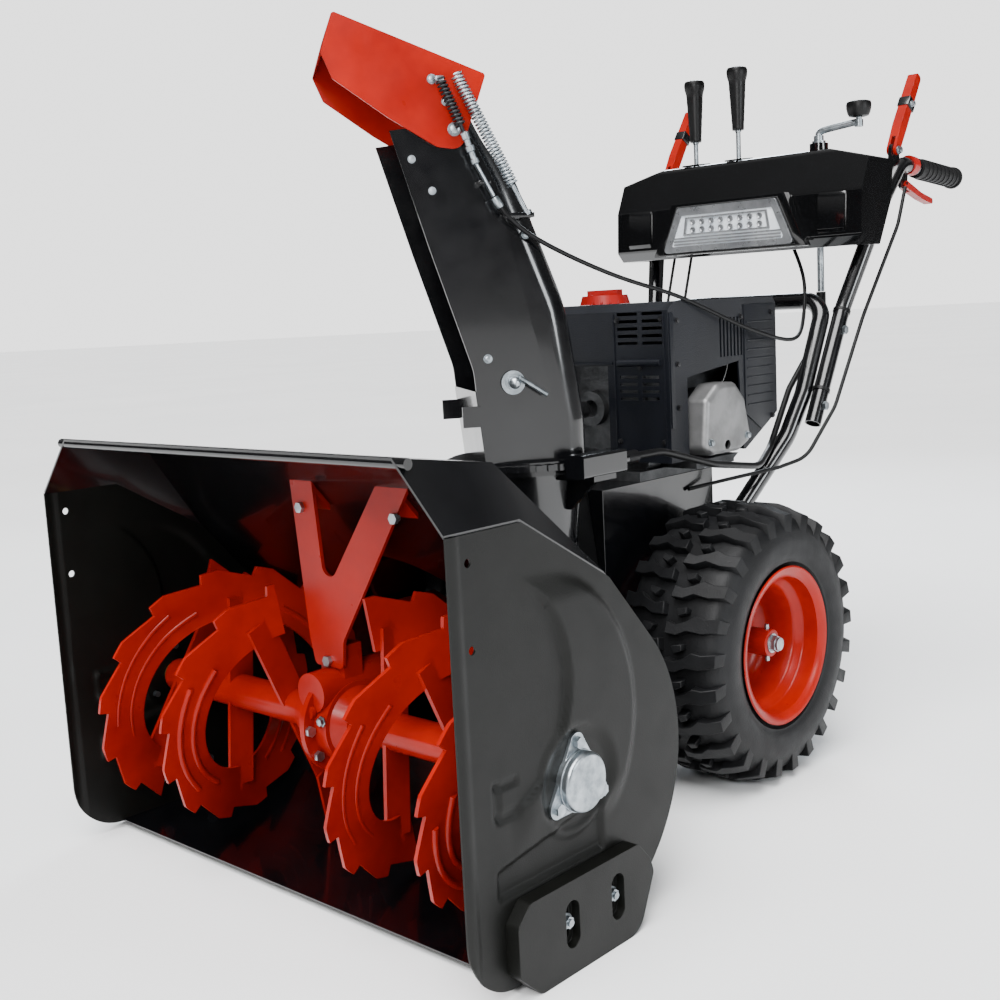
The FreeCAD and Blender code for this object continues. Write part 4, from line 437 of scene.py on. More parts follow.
def outline_solid(name, outline, place, low, high, body, slot, bevel):
    """A flat outline of (u, v) millimetres drawn out between two depths; place(u, v, depth) sets it."""
    bm = bmesh.new()
    ends = [[bm.verts.new(place(u, v, depth)) for u, v in outline] for depth in (low, high)]
    bm.faces.new(ends[0][::-1])
    bm.faces.new(ends[1])
    for i in range(len(outline)):
        j = (i + 1) % len(outline)
        bm.faces.new((ends[0][i], ends[0][j], ends[1][j], ends[1][i]))
    bmesh.ops.recalc_face_normals(bm, faces=bm.faces)
    bevelled(bm, bevel / 1000, 25)
    add_piece(name, mesh_of(bm, name), body, slot)


def tube(name, points, radius, body, slot, replaces=(), order=3):
    """A round cable or rod along one smooth spline with these control points."""
    data = bpy.data.curves.new(name, "CURVE")
    data.dimensions = "3D"
    data.bevel_depth, data.bevel_resolution, data.resolution_u = radius / 1000, 5, 10
    data.use_fill_caps = True
    spline = data.splines.new("NURBS")
    spline.points.add(len(points) - 1)
    for point, place in zip(spline.points, points):
        point.co = (*place, 1)
    spline.order_u = min(order, len(points))
    spline.use_endpoint_u = True
    curve = bpy.data.objects.new(name, data)
    bpy.context.scene.collection.objects.link(curve)
    return add_piece(name, baked(curve, name), body, slot, replaces, 50)


def joined(name, pieces, body, slot, replaces=()):
    """Several pieces of one body and one finish made into a single piece."""
    bm = bmesh.new()
    for piece in pieces:
        bm.from_mesh(piece.data)
        bpy.data.objects.remove(piece)
    return add_piece(name, mesh_of(bm, name), body, slot, replaces, 40)


# ---------------------------------------------------------------- geometry node trees
class Maker(Tree):
    """A geometry node tree with named inputs; run() bakes it to a plain mesh."""

    def __init__(self, name, **inputs):
        super().__init__(bpy.data.node_groups.new(name, "GeometryNodeTree"))
        face = self.tree.interface
        face.new_socket("Geometry", in_out="OUTPUT", socket_type="NodeSocketGeometry")
        self.names = {}
        for label, kind in {"Geometry": "NodeSocketGeometry", "Material": "NodeSocketMaterial",
                            **inputs}.items():
            self.names[label] = face.new_socket(label, in_out="INPUT", socket_type=kind).identifier
        self.entry = self.tree.nodes.new("NodeGroupInput")

    def given(self, label):
        return Wire(self, self.entry.outputs[label])

    def end(self, geometry):
        real = self.node("GeometryNodeRealizeInstances", None, {"Geometry": geometry})
        done = self.node("GeometryNodeSetMaterial", None,
                         {"Geometry": real, "Material": self.given("Material")})
        self.node("NodeGroupOutput", None, {"Geometry": done})
        return self

    def run(self, name, body, slot, seed_mesh=None, angle=35, **values):
        holder = bpy.data.objects.new(name, seed_mesh or bpy.data.meshes.new(name))
        bpy.context.scene.collection.objects.link(holder)
        modifier = holder.modifiers.new("maker", "NODES")
        modifier.node_group = self.tree
        modifier[self.names["Material"]] = FINISHES[slot]
        for label, value in values.items():
            modifier[self.names[label]] = value
        return add_piece(name, baked(holder, name), body, slot, (), angle)


def ring_maker():
    """Copies of the given shape, turned evenly about a line along X through Centre."""
    m = Maker("ring_of_copies", Count="NodeSocketInt", Centre="NodeSocketVector",
              Phase="NodeSocketFloat")
    turn = m.node("GeometryNodeInputIndex") * math.tau
    step = m.maths("DIVIDE", turn, m.given("Count")) + m.given("Phase")
    points = m.node("GeometryNodePoints", None, {"Count": m.given("Count")})
    spin = m.node("ShaderNodeCombineXYZ", None, {0: step})
    copies = m.node("GeometryNodeInstanceOnPoints", None,
                    {"Points": points, "Instance": m.given("Geometry"), "Rotation": spin})
    placed = m.node("GeometryNodeTransform", None,
                    {"Geometry": copies, "Translation": m.given("Centre")})
    return m.end(placed)


def row_maker():
    """Copies of the given shape in rows: Count along Step, Rows along Rise."""
    m = Maker("rows_of_copies", Count="NodeSocketInt", Rows="NodeSocketInt",
              Step="NodeSocketVector", Rise="NodeSocketVector")
    index = m.node("GeometryNodeInputIndex")
    total = m.given("Count") * m.given("Rows")
    points = m.node("GeometryNodePoints", None, {"Count": total})
    column = m.maths("MODULO", index, m.given("Count"))
    row = m.maths("FLOOR", m.maths("DIVIDE", index, m.given("Count")))
    along = m.node("ShaderNodeVectorMath", {"operation": "SCALE"}, {0: m.given("Step"), "Scale": column})
    up = m.node("ShaderNodeVectorMath", {"operation": "SCALE"}, {0: m.given("Rise"), "Scale": row})
    shift = m.node("ShaderNodeVectorMath", {"operation": "ADD"}, {0: along, 1: up})
    placed = m.node("GeometryNodeSetPosition", None, {"Geometry": points, "Position": shift})
    copies = m.node("GeometryNodeInstanceOnPoints", None,
                    {"Points": placed, "Instance": m.given("Geometry")})
    return m.end(copies)


def bolt_maker():
    """Hexagon flange bolts on the given points; each point's "way" says where its head faces."""
    m = Maker("hexagon_bolts", Head="NodeSocketFloat", Height="NodeSocketFloat")
    head = m.node("GeometryNodeMeshCylinder", None,
                  {"Vertices": 6, "Radius": m.given("Head"), "Depth": m.given("Height")})
    lifted = m.node("GeometryNodeTransform", None,
                    {"Geometry": head, "Translation": m.node(
                        "ShaderNodeCombineXYZ", None, {2: m.given("Height") * 0.72})})
    flange = m.node("GeometryNodeMeshCylinder", None,
                    {"Vertices": 24, "Radius": m.given("Head") * 1.28, "Depth": m.given("Height") * 0.42})
    dome = m.node("GeometryNodeMeshCone", None,
                  {"Vertices": 24, "Radius Top": m.given("Head") * 0.52,
                   "Radius Bottom": m.given("Head") * 0.84, "Depth": m.given("Height") * 0.14})
    cap = m.node("GeometryNodeTransform", None,
                 {"Geometry": dome, "Translation": m.node(
                     "ShaderNodeCombineXYZ", None, {2: m.given("Height") * 1.22})})
    both = m.node("GeometryNodeJoinGeometry")
    for part in (lifted, flange, cap):
        m.tree.links.new(part.socket, both.socket.node.inputs[0])
    way = m.node("GeometryNodeInputNamedAttribute", {"data_type": "FLOAT_VECTOR"}, {"Name": "way"})
    turn = m.node("FunctionNodeAlignRotationToVector", {"axis": "Z"}, {"Vector": way})
    points = m.node("GeometryNodeMeshToPoints", None, {"Mesh": m.given("Geometry")})
    copies = m.node("GeometryNodeInstanceOnPoints", None,
                    {"Points": points, "Instance": both, "Rotation": turn})
    return m.end(copies)


def coil_maker():
    """A close wound spring that runs along Z from the origin, then is turned and placed."""
    m = Maker("spring_coil", Turns="NodeSocketFloat", Radius="NodeSocketFloat",
              Length="NodeSocketFloat", Gauge="NodeSocketFloat", Start="NodeSocketVector",
              Way="NodeSocketVector")
    spiral = m.node("GeometryNodeCurveSpiral", None,
                    {"Resolution": 14, "Rotations": m.given("Turns"), "Start Radius": m.given("Radius"),
                     "End Radius": m.given("Radius"), "Height": m.given("Length")})
    round_wire = m.node("GeometryNodeCurvePrimitiveCircle", None,
                        {"Resolution": 8, "Radius": m.given("Gauge")})
    coil = m.node("GeometryNodeCurveToMesh", None,
                  {"Curve": spiral, "Profile Curve": round_wire, "Fill Caps": True})
    turn = m.node("FunctionNodeAlignRotationToVector", {"axis": "Z"}, {"Vector": m.given("Way")})
    placed = m.node("GeometryNodeTransform", None,
                    {"Geometry": coil, "Translation": m.given("Start"), "Rotation": turn})
    return m.end(placed)


RING, ROWS, BOLTS, COIL = ring_maker(), row_maker(), bolt_maker(), coil_maker()


def bolts(name, places, body, slot, head, height):
    """Bolt heads at (point, direction) pairs."""
    mesh = bpy.data.meshes.new(name)
    mesh.from_pydata([place for place, _ in places], [], [])
    way = mesh.attributes.new("way", "FLOAT_VECTOR", "POINT")
    way.data.foreach_set("vector", [c for _, w in places for c in Vector(w).normalized()])
    BOLTS.run(name, body, slot, mesh, 30, Head=head / 1000, Height=height / 1000)


def block(lows, highs, bevel):
    """A mesh box between two corners, in metres, its edges broken."""
    bm = bmesh.new()
    bmesh.ops.create_cube(bm, size=1)
    for v in bm.verts:
        v.co = Vector(highs[i] if v.co[i] > 0 else lows[i] for i in range(3))
    bevelled(bm, bevel / 1000)
    return mesh_of(bm, "block")


# ---------------------------------------------------------------- sheet, castings, mouldings
EASED = {"frame": {"auger_housing": 1.0, "scraper_blade": 1.0, "gearcase": 1.6, "gearcase_brace": 1.0,
                   "chassis": 1.5, "belt_cover": 2.5, "skid_shoes": 2.4, "bearing_covers": 1.2,
                   "engine_cover": 1.3, "recoil_housing": 1.2, "headlight_housing": 1.6,
                   "dash_panel": 1.6, "chute_drive_housing": 1.4, "hex_bolts": 0.6,
                   "impeller_drum": 0.9, "transmission": 2.0, "engine_block": 2.0},
         "auger": {"auger_left": 0.9, "auger_right": 0.9},
         "impeller": {"impeller": 1.0},
         "chute": {"chute": 0.9, "chute_ring_gear": 0.8},
         "deflector": {"deflector": 0.9},
         "fuel_cap": {"fuel_cap": 1.2},
         "clutch_lever_left": {"clutch_lever_left": 2.0},
         "clutch_lever_right": {"clutch_lever_right": 2.0},
         "steering_trigger_left": {"steering_trigger_left": 2.0},
         "steering_trigger_right": {"steering_trigger_right": 2.0}}
for body, nodes in EASED.items():
    for node, width in nodes.items():
        ease(node, body, width)


# ---------------------------------------------------------------- side plates
AUGER_Y, AUGER_Z = -583, 200
CRESCENT_HEIGHT, RIM_HEIGHT, HEM_HEIGHT, PANEL_DEPTH, GROOVE_DEPTH = 6.5, 2.4, 1.6, 5.0, 2.4
PLATE_CUTS = ((1, -758, -368, 3.4), (2, 10, 490, 3.8))


def smooth_step(x, low, high):
    t = min(1.0, max(0.0, (x - low) / (high - low)))
    return t * t * (3 - 2 * t)


def box_level(y, z, y0, y1, z0, z1, soft):
    """1 inside a rectangle, easing to 0 over soft millimetres."""
    return (smooth_step(y, y0 - soft, y0) * smooth_step(-y, -y1 - soft, -y1)
            * smooth_step(z, z0 - soft, z0) * smooth_step(-z, -z1 - soft, -z1))


def plate_relief(y, z):
    """How far the pressing stands out of the side plate, in millimetres."""
    inner = math.hypot(y + 720, z - 318) - 126
    outer = math.hypot(y + 655, z - 262) - 182
    crescent = smooth_step(inner, 0, 4) * smooth_step(-outer, 0, 15)
    crescent *= smooth_step(z, 138, 190) * smooth_step(-z, -436, -396) * smooth_step(y, -690, -655)
    boss = math.hypot(y - AUGER_Y, z - AUGER_Z)
    relief = CRESCENT_HEIGHT * crescent * smooth_step(boss, 56, 66)
    relief += RIM_HEIGHT * smooth_step(boss, 51, 56) * smooth_step(-boss, -65, -60)
    relief += HEM_HEIGHT * (smooth_step(-y, 741, 745) - smooth_step(-y, 752, 756))
    relief -= PANEL_DEPTH * box_level(y, z, -706, -545, 113, 137 + (y + 706) * 0.17, 6)
    for level in (196, 229):
        relief -= GROOVE_DEPTH * box_level(y, z, -708, -676, level - 2.5, level + 2.5, 3)
    relief -= GROOVE_DEPTH * box_level(y, z, -709, -704, 194, 232, 3)
    return relief


def press_plate(name, side):
    """A side plate cut into a fine grid, with its pressing raised on it."""
    node = "side_plate_" + name
    bm = solid_copy(node)
    for axis, low, high, step in PLATE_CUTS:
        count = int((high - low) / step)
        for i in range(1, count):
            place, normal = [0, 0, 0], [0, 0, 0]
            place[axis] = (low + i * step + (AXLE_Y if axis == 1 else 0)) / 1000
            normal[axis] = 1
            bmesh.ops.bisect_plane(bm, geom=list(bm.verts) + list(bm.edges) + list(bm.faces),
                                   plane_co=place, plane_no=normal)
    for v in bm.verts:
        y, z = v.co.y * 1000 - AXLE_Y, v.co.z * 1000
        v.co.x += side * plate_relief(y, z) / 1000
    add_piece(node + "_pressed", mesh_of(bm, node), "frame", SLOT_OF[node], (node,), 40)


for name, side in SIDES:
    press_plate(name, side)


# ---------------------------------------------------------------- wheels
WHEEL_X, AXLE_Z, TYRE_RADIUS = 215, 203, 203
LUGS_A_ROW, LUG_SWEEP, LUG_RADIUS = 25, 0.10, 200
SHOULDER_DROP, LUG_ROOT, ROOT_DROP = 13.5, 184, 26


def lug_shape(row):
    """One tread lug as a closed mesh about the wheel's centre, reaching over the shoulder."""
    outlines = (((3, -12), (22, -15), (38, -9), (58, -13), (79, -10), (80, 11), (60, 9), (47, 13),
                 (36, 5), (20, 1), (5, 6)),
                ((22, 12), (33, 16), (33, 25), (16, 23)))
    bm = bmesh.new()
    for outline in outlines:
        low, high = [], []
        for a, t in outline:
            crown = TYRE_RADIUS - 0.3 - SHOULDER_DROP * smooth_step(a, 34, 84)
            base = LUG_ROOT - ROOT_DROP * smooth_step(a, 50, 82)
            for radius, ring, inset in ((base, low, 1.0), (crown, high, 0.94)):
                turn = (t * inset + LUG_SWEEP * a) / LUG_RADIUS
                ring.append(bm.verts.new(Vector((row * a, math.sin(turn) * radius,
                                                 math.cos(turn) * radius)) / 1000))
        bm.faces.new(high)
        bm.faces.new(low[::-1])
        for i in range(len(outline)):
            j = (i + 1) % len(outline)
            bm.faces.new((low[i], low[j], high[j], high[i]))
    bmesh.ops.recalc_face_normals(bm, faces=bm.faces)
    bevelled(bm, 0.0012, 30, 1)
    return mesh_of(bm, "lug")


TYRE_SECTION = ((102, 58), (101.3, 70), (116.5, 71.7), (119, 74), (121, 77.5), (125, 78.2), (127, 79.5),
                (135, 81.6), (146, 82.4), (157, 81.6), (161, 80.2), (164, 79.8), (172, 77), (181, 71),
                (186, 62), (189, 40), (190, 0))
RIM_SECTION = ((9.6, -40), (20, -40), (20, -24), (60, -21), (70, -18), (82, -8), (85, 4), (86, 34),
               (88, 39), (96, 43), (100, 46), (101, 50), (101, 68), (103, 72), (110, 74.5), (113.5, 76),
               (115, 78), (113, 79.4), (109, 78.6), (102, 75.5), (98.5, 72), (98, 66), (98, 51),
               (96, 47), (87, 43), (83.5, 38), (82, 4), (78, -8), (68, -15.6), (58, -18.4), (20, -21),
               (20, 53), (18.6, 53.6), (9.6, 53.6))
RIM_BACK = ((82, -4), (85, -4), (85, -38), (88, -43), (98, -49), (101, -53), (101, -69), (103, -72),
            (111, -74.6), (115, -77), (112, -79), (103, -76), (98, -72), (98, -54), (86, -45), (82, -40))


def make_wheel(name, side):
    body = "wheel_" + name
    centre = at(side * WHEEL_X, 0, AXLE_Z)
    wall = list(TYRE_SECTION) + [(r, -a) for r, a in TYRE_SECTION[-2::-1]]
    casing = lathe(body + "_casing", wall, centre, X * side, body, "tyre_rubber", steps=120, closed=True)
    rows = [RING.run(f"{body}_lugs_{row + 1}", body, "tyre_rubber", lug_shape(row), Count=LUGS_A_ROW,
                     Centre=centre, Phase=0.0 if row > 0 else math.pi / LUGS_A_ROW)
            for row in (1, -1)]
    joined(body + "_tyre", [casing] + rows, body, "tyre_rubber", ("tyre_" + name,))
    rim = [lathe(f"{body}_rim_{i}", part, centre, X * side, body, "red_paint", steps=96, closed=True)
           for i, part in enumerate((RIM_SECTION, RIM_BACK))]
    joined(body + "_rim", rim, body, "red_paint", ("wheel_rim_" + name,))
    valve = centre + Vector((side * -10, -30, 66)) / 1000
    lathe(body + "_valve", ((5.5, -6), (5.5, 6), (3.6, 9), (3.4, 22), (2.6, 24), (0, 24)), valve,
          X * side, body, "black_plastic", steps=20)


for name, side in SIDES:
    make_wheel(name, side)


# ---------------------------------------------------------------- chute and its springs
CHUTE_X, CHUTE_Y, CHUTE_TURN = 96, -322, math.radians(-36)
CHUTE_WALL = 78.2
SPRING_U = 97


def chute_point(s, u, z):
    """A point on the chute: s the way it throws, u to its own left."""
    c, n = math.cos(CHUTE_TURN), math.sin(CHUTE_TURN)
    return at(CHUTE_X + u * c + s * n, CHUTE_Y + u * n - s * c, z)


def chute_block(name, s0, s1, u0, u1, z0, z1, body, slot, bevel=1.2):
    outline_solid(name, ((s0, z0), (s1, z0), (s1, z1), (s0, z1)),
                  lambda s, z, u: chute_point(s, u, z), u0, u1, body, slot, bevel)


def coil(name, start, end, turns, radius, gauge, body, slot):
    way = end - start
    COIL.run(name, body, slot, None, 60, Turns=float(turns), Radius=radius / 1000,
             Length=way.length, Gauge=gauge / 1000, Start=start, Way=way.normalized())


def make_springs():
    """The two springs on the chute's left, with the cable's adjuster between them."""
    u = SPRING_U
    top, short_end = chute_point(105, u, 974), chute_point(82, u, 919)
    coil("short_spring", top, short_end, 13, 5.6, 1.35, "chute", "dark_steel")
    rod_way = short_end - top
    lathe("short_spring_core", ((2.4, 0), (2.4, 60), (2.0, 67)), top, rod_way, "chute", "dark_steel",
          steps=16)
    adjuster_top, thread_top = chute_point(79, u, 912), chute_point(66, u, 874)
    thread_end = chute_point(46, u, 835)
    lathe("cable_adjuster", ((3.4, 0), (5, 1.5), (5, 9), (3.8, 10), (3.8, 17), (5.6, 18), (5.6, 24),
                             (3.8, 25), (3.8, 33), (5, 34), (5, 39), (3, 40.2)),
          adjuster_top, thread_top - adjuster_top, "chute", "zinc", steps=20)
    lathe("adjuster_thread", [(2.5 + 0.5 * (i % 2), i * 1.1) for i in range(40)],
          thread_top, thread_end - thread_top, "chute", "zinc", steps=16)
    long_top, long_end = chute_point(85, u, 979), chute_point(22, u, 848)
    coil("long_spring", long_top, long_end, 34, 6.6, 1.35, "chute", "zinc")
    lathe("long_spring_tail", ((3.2, 0), (3.2, 34), (6.4, 34.6), (6.4, 39.5), (3.2, 40)), long_end,
          chute_point(5, u, 812) - long_end, "chute", "zinc", ("deflector_springs",), 20)
    chute_block("spring_foot", -2, 34, CHUTE_WALL, u + 6, 809, 815, "chute", "gloss_black")
    chute_block("spring_shelf", 49, 63, CHUTE_WALL, u + 1, 851, 855, "chute", "gloss_black")
    chute_block("spring_hook", 100, 110, 93.5, u + 3.5, 971, 977, "chute", "zinc", 1.5)


def make_chute_fittings():
    way = chute_point(0, 1, 0) - chute_point(0, 0, 0)
    rivets = [(chute_point(s, 78.1, z), way) for s, z in ((141, 884), (118, 846))]
    bolts("chute_rivets", rivets, "chute", "zinc", 3.8, 1.5)
    screws = [(chute_point(s, 78.4, z), way) for s, z in ((60, 640), (5, 790))]
    bolts("chute_bolts", screws, "chute", "zinc", 4.4, 3.4)
    lathe("lock_pin_washer", ((8, 0), (15, 0), (15, 1.6), (8, 1.6)), chute_point(30, 80.6, 609), way,
          "chute", "zinc", closed=True)
    hinge = [(chute_point(88, side * 83.2, 917), way * side) for side in (1, -1)]
    bolts("hinge_nuts", hinge, "deflector", "zinc", 6.4, 4.6)
    cheek = [(chute_point(s, 83.2, z), way) for s, z in ((112, 976), (96, 950))]
    bolts("hook_bolts", cheek, "deflector", "zinc", 4.6, 3.2)


make_springs()
make_chute_fittings()


# ---------------------------------------------------------------- shift levers and the crank
LEVER_Y, LEVER_PIN_Z = 402, 858
SPEED_LEVER_X, DEFLECTOR_LEVER_X = -108, -20
KNOB_HEIGHT = 108


def make_shift_lever(x, top, node):
    """A zinc stalk on its dash pin, with a ribbed and tapered knob."""
    foot = at(x, LEVER_Y, LEVER_PIN_Z)
    base = top - LEVER_PIN_Z - KNOB_HEIGHT
    lathe(node + "_stalk", ((4, 0), (4, base - 4), (5.2, base - 3), (5.2, base + 2), (4, base + 4)),
          foot, Z, node, "zinc", (node,), 24)
    lathe(node + "_eye", ((3.1, -6), (8, -6), (8, 6), (3.1, 6)), foot, X, node, "zinc", closed=True,
          steps=24)
    knob = [(9.4, base), (10.2, base + 1.5)]
    knob += [(10.3 + 4.6 * i / 12 - (0.35 if i % 2 else 0), base + 4 + 78 * i / 12) for i in range(13)]
    knob += [(15.6, base + 85), (17.2, base + 90), (18, base + 97), (17.8, base + 101),
             (16.2, base + 104.4), (12, base + 105.8), (0, base + 106)]
    lathe(node + "_knob", knob, foot, Z, node, "black_plastic", steps=40)


make_shift_lever(SPEED_LEVER_X, 1086, "speed_lever")
make_shift_lever(DEFLECTOR_LEVER_X, 1096, "deflector_lever")


CRANK_X, CRANK_Y = 138, 396
KNOB_FOOT = at(207, 402, 972)


def make_crank():
    """The chute crank: an upright rod bent over the dash, with its collar, pin and knob."""
    tube("crank_rod", [at(CRANK_X, CRANK_Y, z) for z in (704, 800, 900, 948, 958, 962)]
         + [at(142, 396.4, 966), at(156, 397.6, 968), at(207, 402, 973)], 5.6, "crank", "zinc",
         ("chute_crank",), 4)
    lathe("crank_collar", ((6, 0), (11, 0.4), (11, 3.6), (8, 4), (8, 12), (6, 12.6)),
          at(CRANK_X, CRANK_Y, 946.4), Z, "crank", "zinc", steps=32)
    lathe("crank_knob_pin", ((6.8, -7), (6.8, 4), (4.5, 5), (4.5, 10)), KNOB_FOOT, Z, "crank", "zinc",
          steps=24)
    lathe("crank_knob", ((10, 8), (15.5, 9.5), (18, 14), (19.8, 22), (20, 28), (18.8, 31.8), (15, 33),
                         (0, 33.4)), KNOB_FOOT, Z, "crank", "black_plastic", steps=40)


make_crank()


# ---------------------------------------------------------------- dash, lamp and levers
def band(name, loops, bevel, angle, slot):
    """A closed frame whose section runs through four loops of points, its edges broken."""
    bm = bmesh.new()
    rings = [[bm.verts.new(point) for point in loop] for loop in loops]
    for a, b in zip(rings, rings[1:] + rings[:1]):
        for i in range(len(a)):
            j = (i + 1) % len(a)
            bm.faces.new((a[i], a[j], b[j], b[i]))
    bmesh.ops.recalc_face_normals(bm, faces=bm.faces)
    bevelled(bm, bevel / 1000, angle)
    add_piece(name, mesh_of(bm, name), "frame", slot)


def frame_band(name, outer, inner, near, far, slot):
    """A flat frame between two outlines in (x, z), from its near face back to its far one."""
    loops = ((near, outer), (near, inner), (far, inner), (far, outer))
    band(name, [[at(x, y, z) for x, z in loop] for y, loop in loops], 1.6, 25, slot)


def make_lamp():
    """The headlight's surround and bezel, its two rows of small lamps and the ribs below them."""
    frame_band("lamp_surround",
               ((-152, 779), (152, 779), (141, 800), (112, 868), (-112, 868), (-141, 800)),
               ((-131, 783.2), (131, 783.2), (122, 803), (98, 860.8), (-98, 860.8), (-122, 803)),
               325, 341, "dash_plastic")
    frame_band("lamp_bezel", ((-86, 812), (86, 812), (81, 843), (-81, 843)),
               ((-81, 815), (81, 815), (77, 840), (-77, 840)), 321.2, 324.2, "silver_plastic")
    cup, sides = bmesh.new(), 16
    rings = []
    for radius, depth in ((5.0, 2.4), (5.0, 0.2), (4.2, 0.0), (2.0, 1.6), (1.5, 1.0)):
        rings.append([cup.verts.new(Vector((radius * math.cos(t), depth, radius * math.sin(t))) / 1000)
                      for t in (math.tau * i / sides for i in range(sides))])
    for low, high in zip(rings, rings[1:]):
        for i in range(sides):
            j = (i + 1) % sides
            cup.faces.new((low[i], low[j], high[j], high[i]))
    cup.faces.new(rings[-1])
    cup.faces.new(rings[0][::-1])
    bmesh.ops.recalc_face_normals(cup, faces=cup.faces)
    cup.transform(Matrix.Translation(at(-66.5, 321.6, 821)))
    ROWS.run("lamp_cups", "frame", "silver_plastic", mesh_of(cup, "cup"), Count=8, Rows=2,
             Step=Vector((19, 0, 0)) / 1000, Rise=Vector((0, 0, 13)) / 1000)
    rib = block(at(-106, 321.4, 796), at(106, 324.4, 798.6), 0.7)
    ROWS.run("lamp_ribs", "frame", "silver_plastic", rib, Count=1, Rows=3,
             Step=Vector((0, 0, 0)), Rise=Vector((0, 0, 5.2)) / 1000)


def yz_solid(name, outline, low, high, body, slot, bevel):
    """An outline of (y, z) drawn out between two x."""
    outline_solid(name, outline, lambda y, z, x: at(x, y, z), low, high, body, slot, bevel)


def make_lever_fittings(name, side):
    """The clamp band half way up a clutch lever, its bolt, and the switch block at the grip."""
    along, across = Vector((0.5417, 0.8406)), Vector((0.8406, -0.5417))
    middle = Vector((534, 1007))
    corners = [middle + along * a + across * c
               for a, c in ((-9, -11.6), (9, -11.2), (9, 11.2), (-9, 11.8))]
    x = side * 226
    yz_solid(f"lever_band_{name}", corners, x - 10, x + 10, f"clutch_lever_{name}", "gloss_black", 1.4)
    bolts(f"lever_band_bolts_{name}", [(at(x + side * 10, middle.x, middle.y), X * side)],
          f"clutch_lever_{name}", "zinc", 4.6, 4)
    tube(f"grip_switch_{name}", [at(side * 230, 528, 907.6), at(side * 230, 546, 906.4)], 16.2, "frame",
         "red_plastic", (), 2)
    bolts(f"lever_pivot_nut_{name}", [(at(side * 235.6, 485, 929), X * side)], "frame", "zinc", 5.6, 4)


def on_dash(x, y, above):
    """A point above the dash's sloping top."""
    return at(x, y, 935.2 + (y - 374) * 0.0968 + above)


def make_dash_details():
    """The dash's front corners and screws, and the gates that the shift levers stand in."""
    for name, side in SIDES:
        x = side * 190
        yz_solid(f"dash_corner_{name}",
                 ((337.5, 797), (334.5, 803), (337.5, 852), (341.5, 862), (343, 850), (341, 800)),
                 x - 24, x + 24, "frame", "dash_plastic", 1.2)
    screws = [(at(x, 337.4 + (z - 791) * 0.056, z), -Y)
              for x, z in ((-172, 806), (172, 806), (-170, 845), (170, 845))]
    bolts("dash_screws", screws, "frame", "zinc", 2.8, 2)
    for x in (SPEED_LEVER_X, DEFLECTOR_LEVER_X):
        slot = ((x - 11, 374), (x + 11, 374), (x + 11, 430), (x - 11, 430))
        inside = ((x - 7, 376.5), (x + 7, 376.5), (x + 7, 427.5), (x - 7, 427.5))
        loops = ((-1, slot), (1.8, slot), (1.8, inside), (-1, inside))
        band(f"lever_gate_{abs(x)}", [[on_dash(u, v, above) for u, v in loop] for above, loop in loops],
             0.6, 30, "black_plastic")


make_lamp()
make_dash_details()
for name, side in SIDES:
    make_lever_fittings(name, side)


# ---------------------------------------------------------------- engine covers
COVER_X = 160


def make_engine_details():
    """What is screwed to the engine cover: the air box panel, collar, edges, seams and screws."""
    side = COVER_X
    yz_solid("air_box_panel", ((116, 524), (116, 690), (202, 690), (206, 684), (206, 524), (160, 497)),
             side - 1, side + 1.8, "frame", "engine_plastic", 0.8)
    rib = block(at(side, 122, 536), at(side + 3.0, 196, 538.4), 0.7)
    ROWS.run("air_box_ribs", "frame", "engine_plastic", rib, Count=1, Rows=10,
             Step=Vector((0, 0, 0)), Rise=Vector((0, 0, 14)) / 1000)
    lathe("recoil_collar", ((75.4, 0), (89.5, 0), (89.5, 3), (75.4, 3)), at(0, 203.6, 606), Y, "frame",
          "engine_plastic", closed=True, steps=72)
    yz_solid("shroud_edge", ((-79, 520), (-70, 520), (-70, 684), (-79, 684)), side - 0.4, side + 1.8,
             "frame", "engine_plastic", 0.7)
    for x in (-66, 64, 152):
        seam = block(at(x - 1.2, -82.6, 482), at(x + 1.2, -80.6, 684), 0.5)
        add_piece(f"front_seam_{x + 170}", seam, "frame", "engine_plastic")
    ledge = block(at(-164, -83.4, 612), at(60, -80.6, 616), 0.8)
    add_piece("front_ledge", ledge, "frame", "engine_plastic")
    screws = [(at(x, -81.4, z), -Y) for x, z in ((70, 676), (148, 676), (70, 500), (148, 500),
                                                 (-158, 676), (-158, 500), (110, 607))]
    screws += [(at(side + 0.4, y, z), X) for y, z in ((-60, 672), (-60, 610), (-60, 548), (108, 672))]
    screws += [(at(side + 2, y, z), X) for y, z in ((192, 515), (192, 676))]
    bolts("cover_screws", screws, "frame", "dark_steel", 3.4, 2.4)
    guard = [(at(186.2, y, z), X) for y, z in ((-20, 494), (78, 496))]
    bolts("guard_bolts", guard, "frame", "zinc", 4.6, 3.6)


make_engine_details()


# ---------------------------------------------------------------- cables
HANDLE_X, HANDLE_WAY = 189, Vector((0, 0.497, 0.868))


